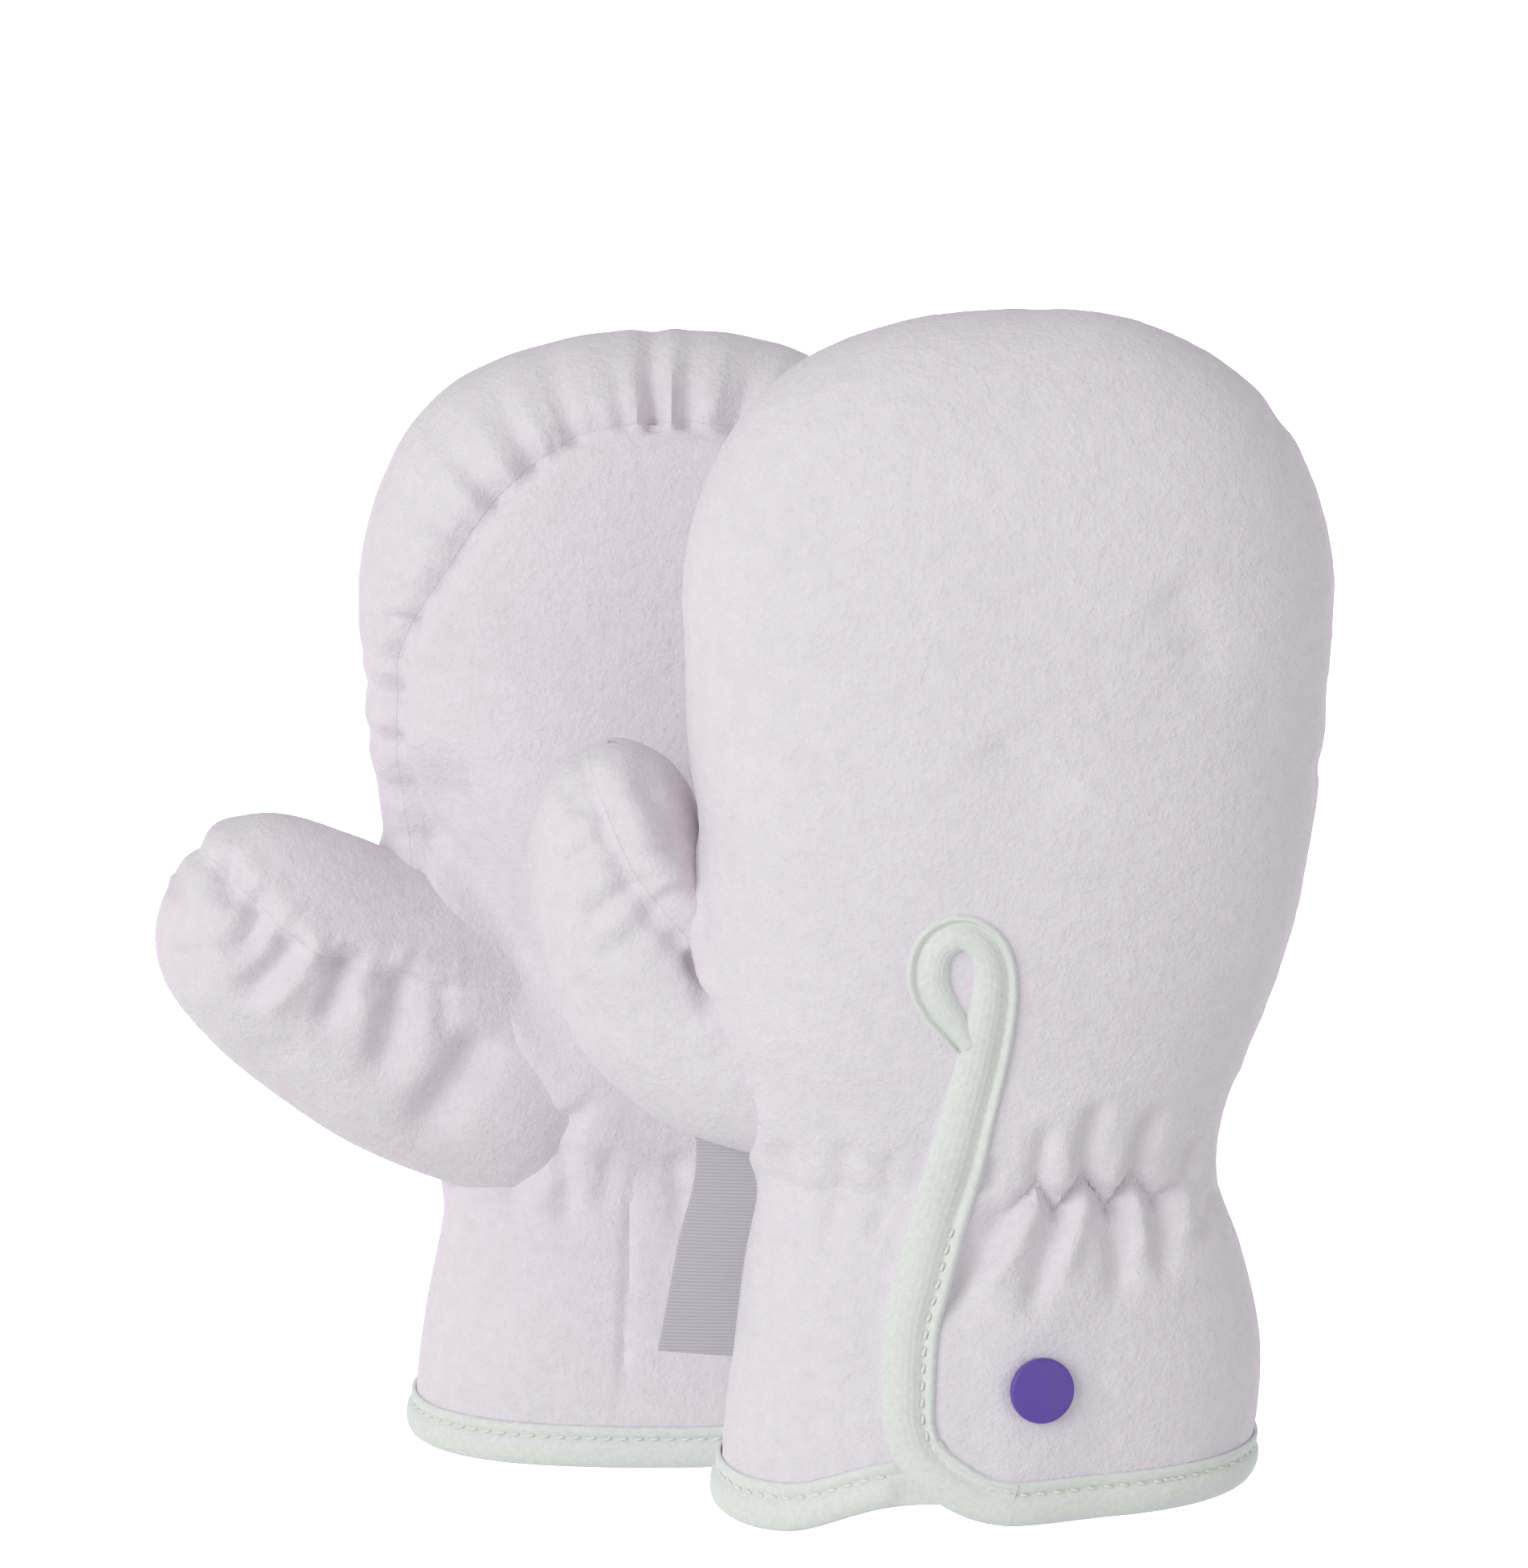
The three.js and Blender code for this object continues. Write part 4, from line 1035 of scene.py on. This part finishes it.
# The hems: the same tape, folded over the cuff's lower edge, in one run from under the flap
# round the palm, and another along the flap. It has the same roll, stitches and strip.
hem_section = np.array([
    # height above the hem, outward from the cloth
    [5.9, 0.06], [5.9, 0.4], [5.6, 0.58], [5.1, 0.62], [4.7, 0.52], [4.45, 0.3], [4.2, 0.26],
    [4, 0.6], [3.7, 0.95], [3.4, 1.1], [3.1, 1.26], [2.8, 1.24], [2.5, 1.36], [2.2, 1.3],
    [1.9, 1.36], [1.6, 1.24], [1.3, 1.22], [1, 1], [0.7, 0.92], [0.4, 0.6], [0.15, 0.2],
    [0, -0.4], [0, -1.5], [0.3, -2.1], [1.2, -2.3], [3.4, -2.3], [4.4, -2.2], [4.65, -1.9],
    [4.66, 0.03],
])


def power(value, exponent):
    """A power that keeps the value's sign."""
    return np.sign(value) * np.abs(value) ** exponent


def round_cuff(mitten, turn, z, above):
    """Points round the cuff, turned from the far side over the palm and then over the back."""
    level = np.maximum(z, 0)
    thumb_edge, far_edge = hand_edges(mitten, level)
    half = (far_edge - thumb_edge) / 2
    palm_deep, back_deep = read(mitten["sides"], 3, level), read(mitten["sides"], 4, level)
    deep = np.where(np.sin(turn) >= 0, palm_deep, back_deep)
    share_x, share_y = power(np.cos(turn), 2 / roundness), power(np.sin(turn), 2 / roundness)
    normal_x, normal_y = power(share_x, roundness - 1) / half, power(share_y, roundness - 1) / deep
    length = np.hypot(normal_x, normal_y)
    x = (thumb_edge + far_edge) / 2 + half * share_x + above * normal_x / length
    y = deep * share_y + above * normal_y / length
    return np.stack([x, -mitten["back"] * y, z - hem_drop(mitten, x, z)], axis=-1)


# Turns round the cuff, in radians: at the middle of the back, where the flap lies over the hem,
# and once all round.
back_middle = 1.5 * np.pi
whole_turn = 2 * np.pi


def drawn_up_hem(turn):
    """The hem runs up a little where it goes under the flap."""
    return 2.0 * smooth(back_middle - 0.8, back_middle - 0.3, turn)


def hem_rows(mitten):
    heights, outward = hem_section[:, 0], hem_section[:, 1]
    rows = []
    for turn in np.linspace(0.004, back_middle - 0.09, 240):
        under_flap = smooth(back_middle - 0.36, back_middle - 0.26, turn)
        above = np.where(outward > 0, outward * (1 - 0.8 * under_flap), outward)
        turns = np.full(len(heights), turn)
        rows.append(round_cuff(mitten, turns, heights + drawn_up_hem(turn), above))
    return np.array(rows)


def flap_hem_rows(mitten):
    heights, outward = hem_section[:, 0], hem_section[:, 1]
    round_part = [
        round_cuff(mitten, np.full(len(heights), turn), heights, outward)
        for turn in np.linspace(whole_turn - 0.004, whole_turn - 0.9, 40)
    ]
    edge = slit_curve(150)[::-1]
    corner = edge[edge[:, 1] < 8.6]
    line = np.concatenate([np.stack([np.linspace(22, 3.2, 40), np.zeros(40)], axis=-1), corner])
    for _ in range(12):
        line[1:-1] = (line[:-2] + 2 * line[1:-1] + line[2:]) / 4
    edge_part = across_back(mitten, line, [(heights, outward)] * len(line))
    return np.array(round_part + edge_part)


for mitten in mittens:
    name = mitten["name"]
    for rows, node, length in ((hem_rows, "hem", 0.130), (flap_hem_rows, "flap_hem", 0.046)):
        piece = skin_object(f"{name}_{node}_tape", mitten, closed_rows(rows(mitten)), False)
        finish_surface(piece, 60, tape)
        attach(piece, "root")
        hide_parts(f"{name}_{node}")

hem_groove = 4.3
groove_share = 0.16
ring_count = 500


def stitches_object(mitten):
    """Stitches down the binding's groove, along the flap's hem and round the other hem."""
    shape = bmesh.new()
    line = spline_points(roll_line, np.linspace(0, 0.4, 200))
    _, across = line_frame(line[:, :2])
    beside = line[:, 2] + groove_share * (line[:, 3] - line[:, 2])
    groove = line[:, :2] + across * beside[:, None]

    def over_back(x, z, above):
        return back_surface(mitten, x, z, above)

    flap_line = np.array([[24, hem_groove], [3.8, hem_groove]])
    for each in (groove, flap_line):
        add_stitches(shape, mitten, over_back, *evenly(each, stitch_step))
    spans = ((0.03, back_middle - 0.35), (whole_turn - 0.95, whole_turn - 0.05))
    for first, last in spans:
        turns = np.linspace(first, last, ring_count)
        level = np.full(ring_count, hem_groove)
        lengths = run_lengths(round_cuff(mitten, turns, level, np.zeros(ring_count)))

        def over_cuff(length, z, above):
            turn = np.interp(length, lengths, turns)
            return round_cuff(mitten, turn, z + drawn_up_hem(turn) * (turn < back_middle), above)

        run = np.stack([lengths, level], axis=-1)
        add_stitches(shape, mitten, over_cuff, *evenly(run, stitch_step))
    bmesh.ops.remove_doubles(shape, verts=shape.verts, dist=1e-6)
    return solid_object(mitten["name"] + "_stitches", shape)


for mitten in mittens:
    stitches = stitches_object(mitten)
    finish_surface(stitches, 60, thread)
    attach(stitches, "root")

# The badges: a round disc of soft violet plastic, 8 mm across, fixed on the flap near the hem,
# with a softly rounded rim and a finely grained face.
badge_middle = (6.0, 17.5)
badge_radius = 4.1
badge_thickness = 1.2
badge_stand = 0.2
badge_plastic, tree = new_material("violet_plastic", {
    "Base Color": (0.13, 0.068, 0.40, 1), "Roughness": 0.42,
})
wire(tree, tree.nodes["Principled BSDF"], {
    "Normal": relief(tree, noise(tree, 2600), 0.35, 0.0001),
})
for mitten in mittens:
    x, z = badge_middle
    face, above = back_surface(mitten, np.array([x, x]), np.array([z, z]), np.array([0.0, 1.0]))
    outward = Vector(above - face).normalized()
    face = Vector((face + mitten["place"]) * MM)
    middle = face + outward * (badge_stand + badge_thickness / 2) * MM
    bpy.ops.object.select_all(action="DESELECT")
    bpy.ops.mesh.primitive_cylinder_add(
        vertices=64, radius=badge_radius * MM, depth=badge_thickness * MM, location=middle,
        rotation=outward.to_track_quat("Z", "Y").to_euler(),
    )
    badge = bpy.context.object
    badge.name = mitten["name"] + "_badge_disc"
    bpy.ops.object.transform_apply(location=True, rotation=True, scale=True)
    rim = badge.modifiers.new("rim", "BEVEL")
    rim.width = 0.4 * MM
    rim.segments = 4
    rim.limit_method = "ANGLE"
    apply_all(badge)
    finish_surface(badge, 40, badge_plastic)
    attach(badge, "root")
    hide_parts(mitten["name"] + "_badge")

# The label: a grey woven flag, 28 mm long and about 9 mm wide, caught in the right cuff's side
# seam on the thumb side, with its free edge hanging a little lower.
label_top = 43.5
label_bottom = 15.0
label_top_width = 7.6
label_bottom_width = 9.2
label_thickness = 0.8
label_tuck = 0.6
woven_grey, tree = new_material("woven_grey", {"Roughness": 0.7})
place = add_node(tree, "TexCoord", {}).outputs["Object"]
wave = {"Vector": place, "Scale": 700, "Distortion": 0.6}
weave = add_node(tree, "TexWave", wave, bands_direction="Z").outputs["Fac"]
wire(tree, tree.nodes["Principled BSDF"], {
    "Base Color": two_tones(tree, weave, (0.46, 0.44, 0.485), (0.56, 0.535, 0.58)),
    "Normal": relief(tree, weave, 0.4, 0.00012),
})

rows = []
for z in np.linspace(label_top, label_bottom, 40):
    share = (label_top - z) / (label_top - label_bottom)
    width = label_top_width + (label_bottom_width - label_top_width) * share
    edge = read(right["sides"], 1, z) + label_tuck
    ring = []
    for side, steps in ((-1, np.linspace(0, 1, 16)), (1, np.linspace(1, 0, 16))):
        for step in steps:
            curl = 0.9 * step**2 * math.sin(2.2 * share + 0.4)
            y = side * label_thickness / 2 + curl
            ring.append((edge - (width + label_tuck) * step, y, z + 0.6 * step))
    rows.append(ring)
label = skin_object("right_label_flag", right, closed_rows(np.array(rows)), False)
edge_round = label.modifiers.new("edge", "BEVEL")
edge_round.width = 0.15 * MM
edge_round.segments = 2
edge_round.limit_method = "ANGLE"
apply_all(label)
finish_surface(label, 35, woven_grey)
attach(label, "root")
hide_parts("right_label")
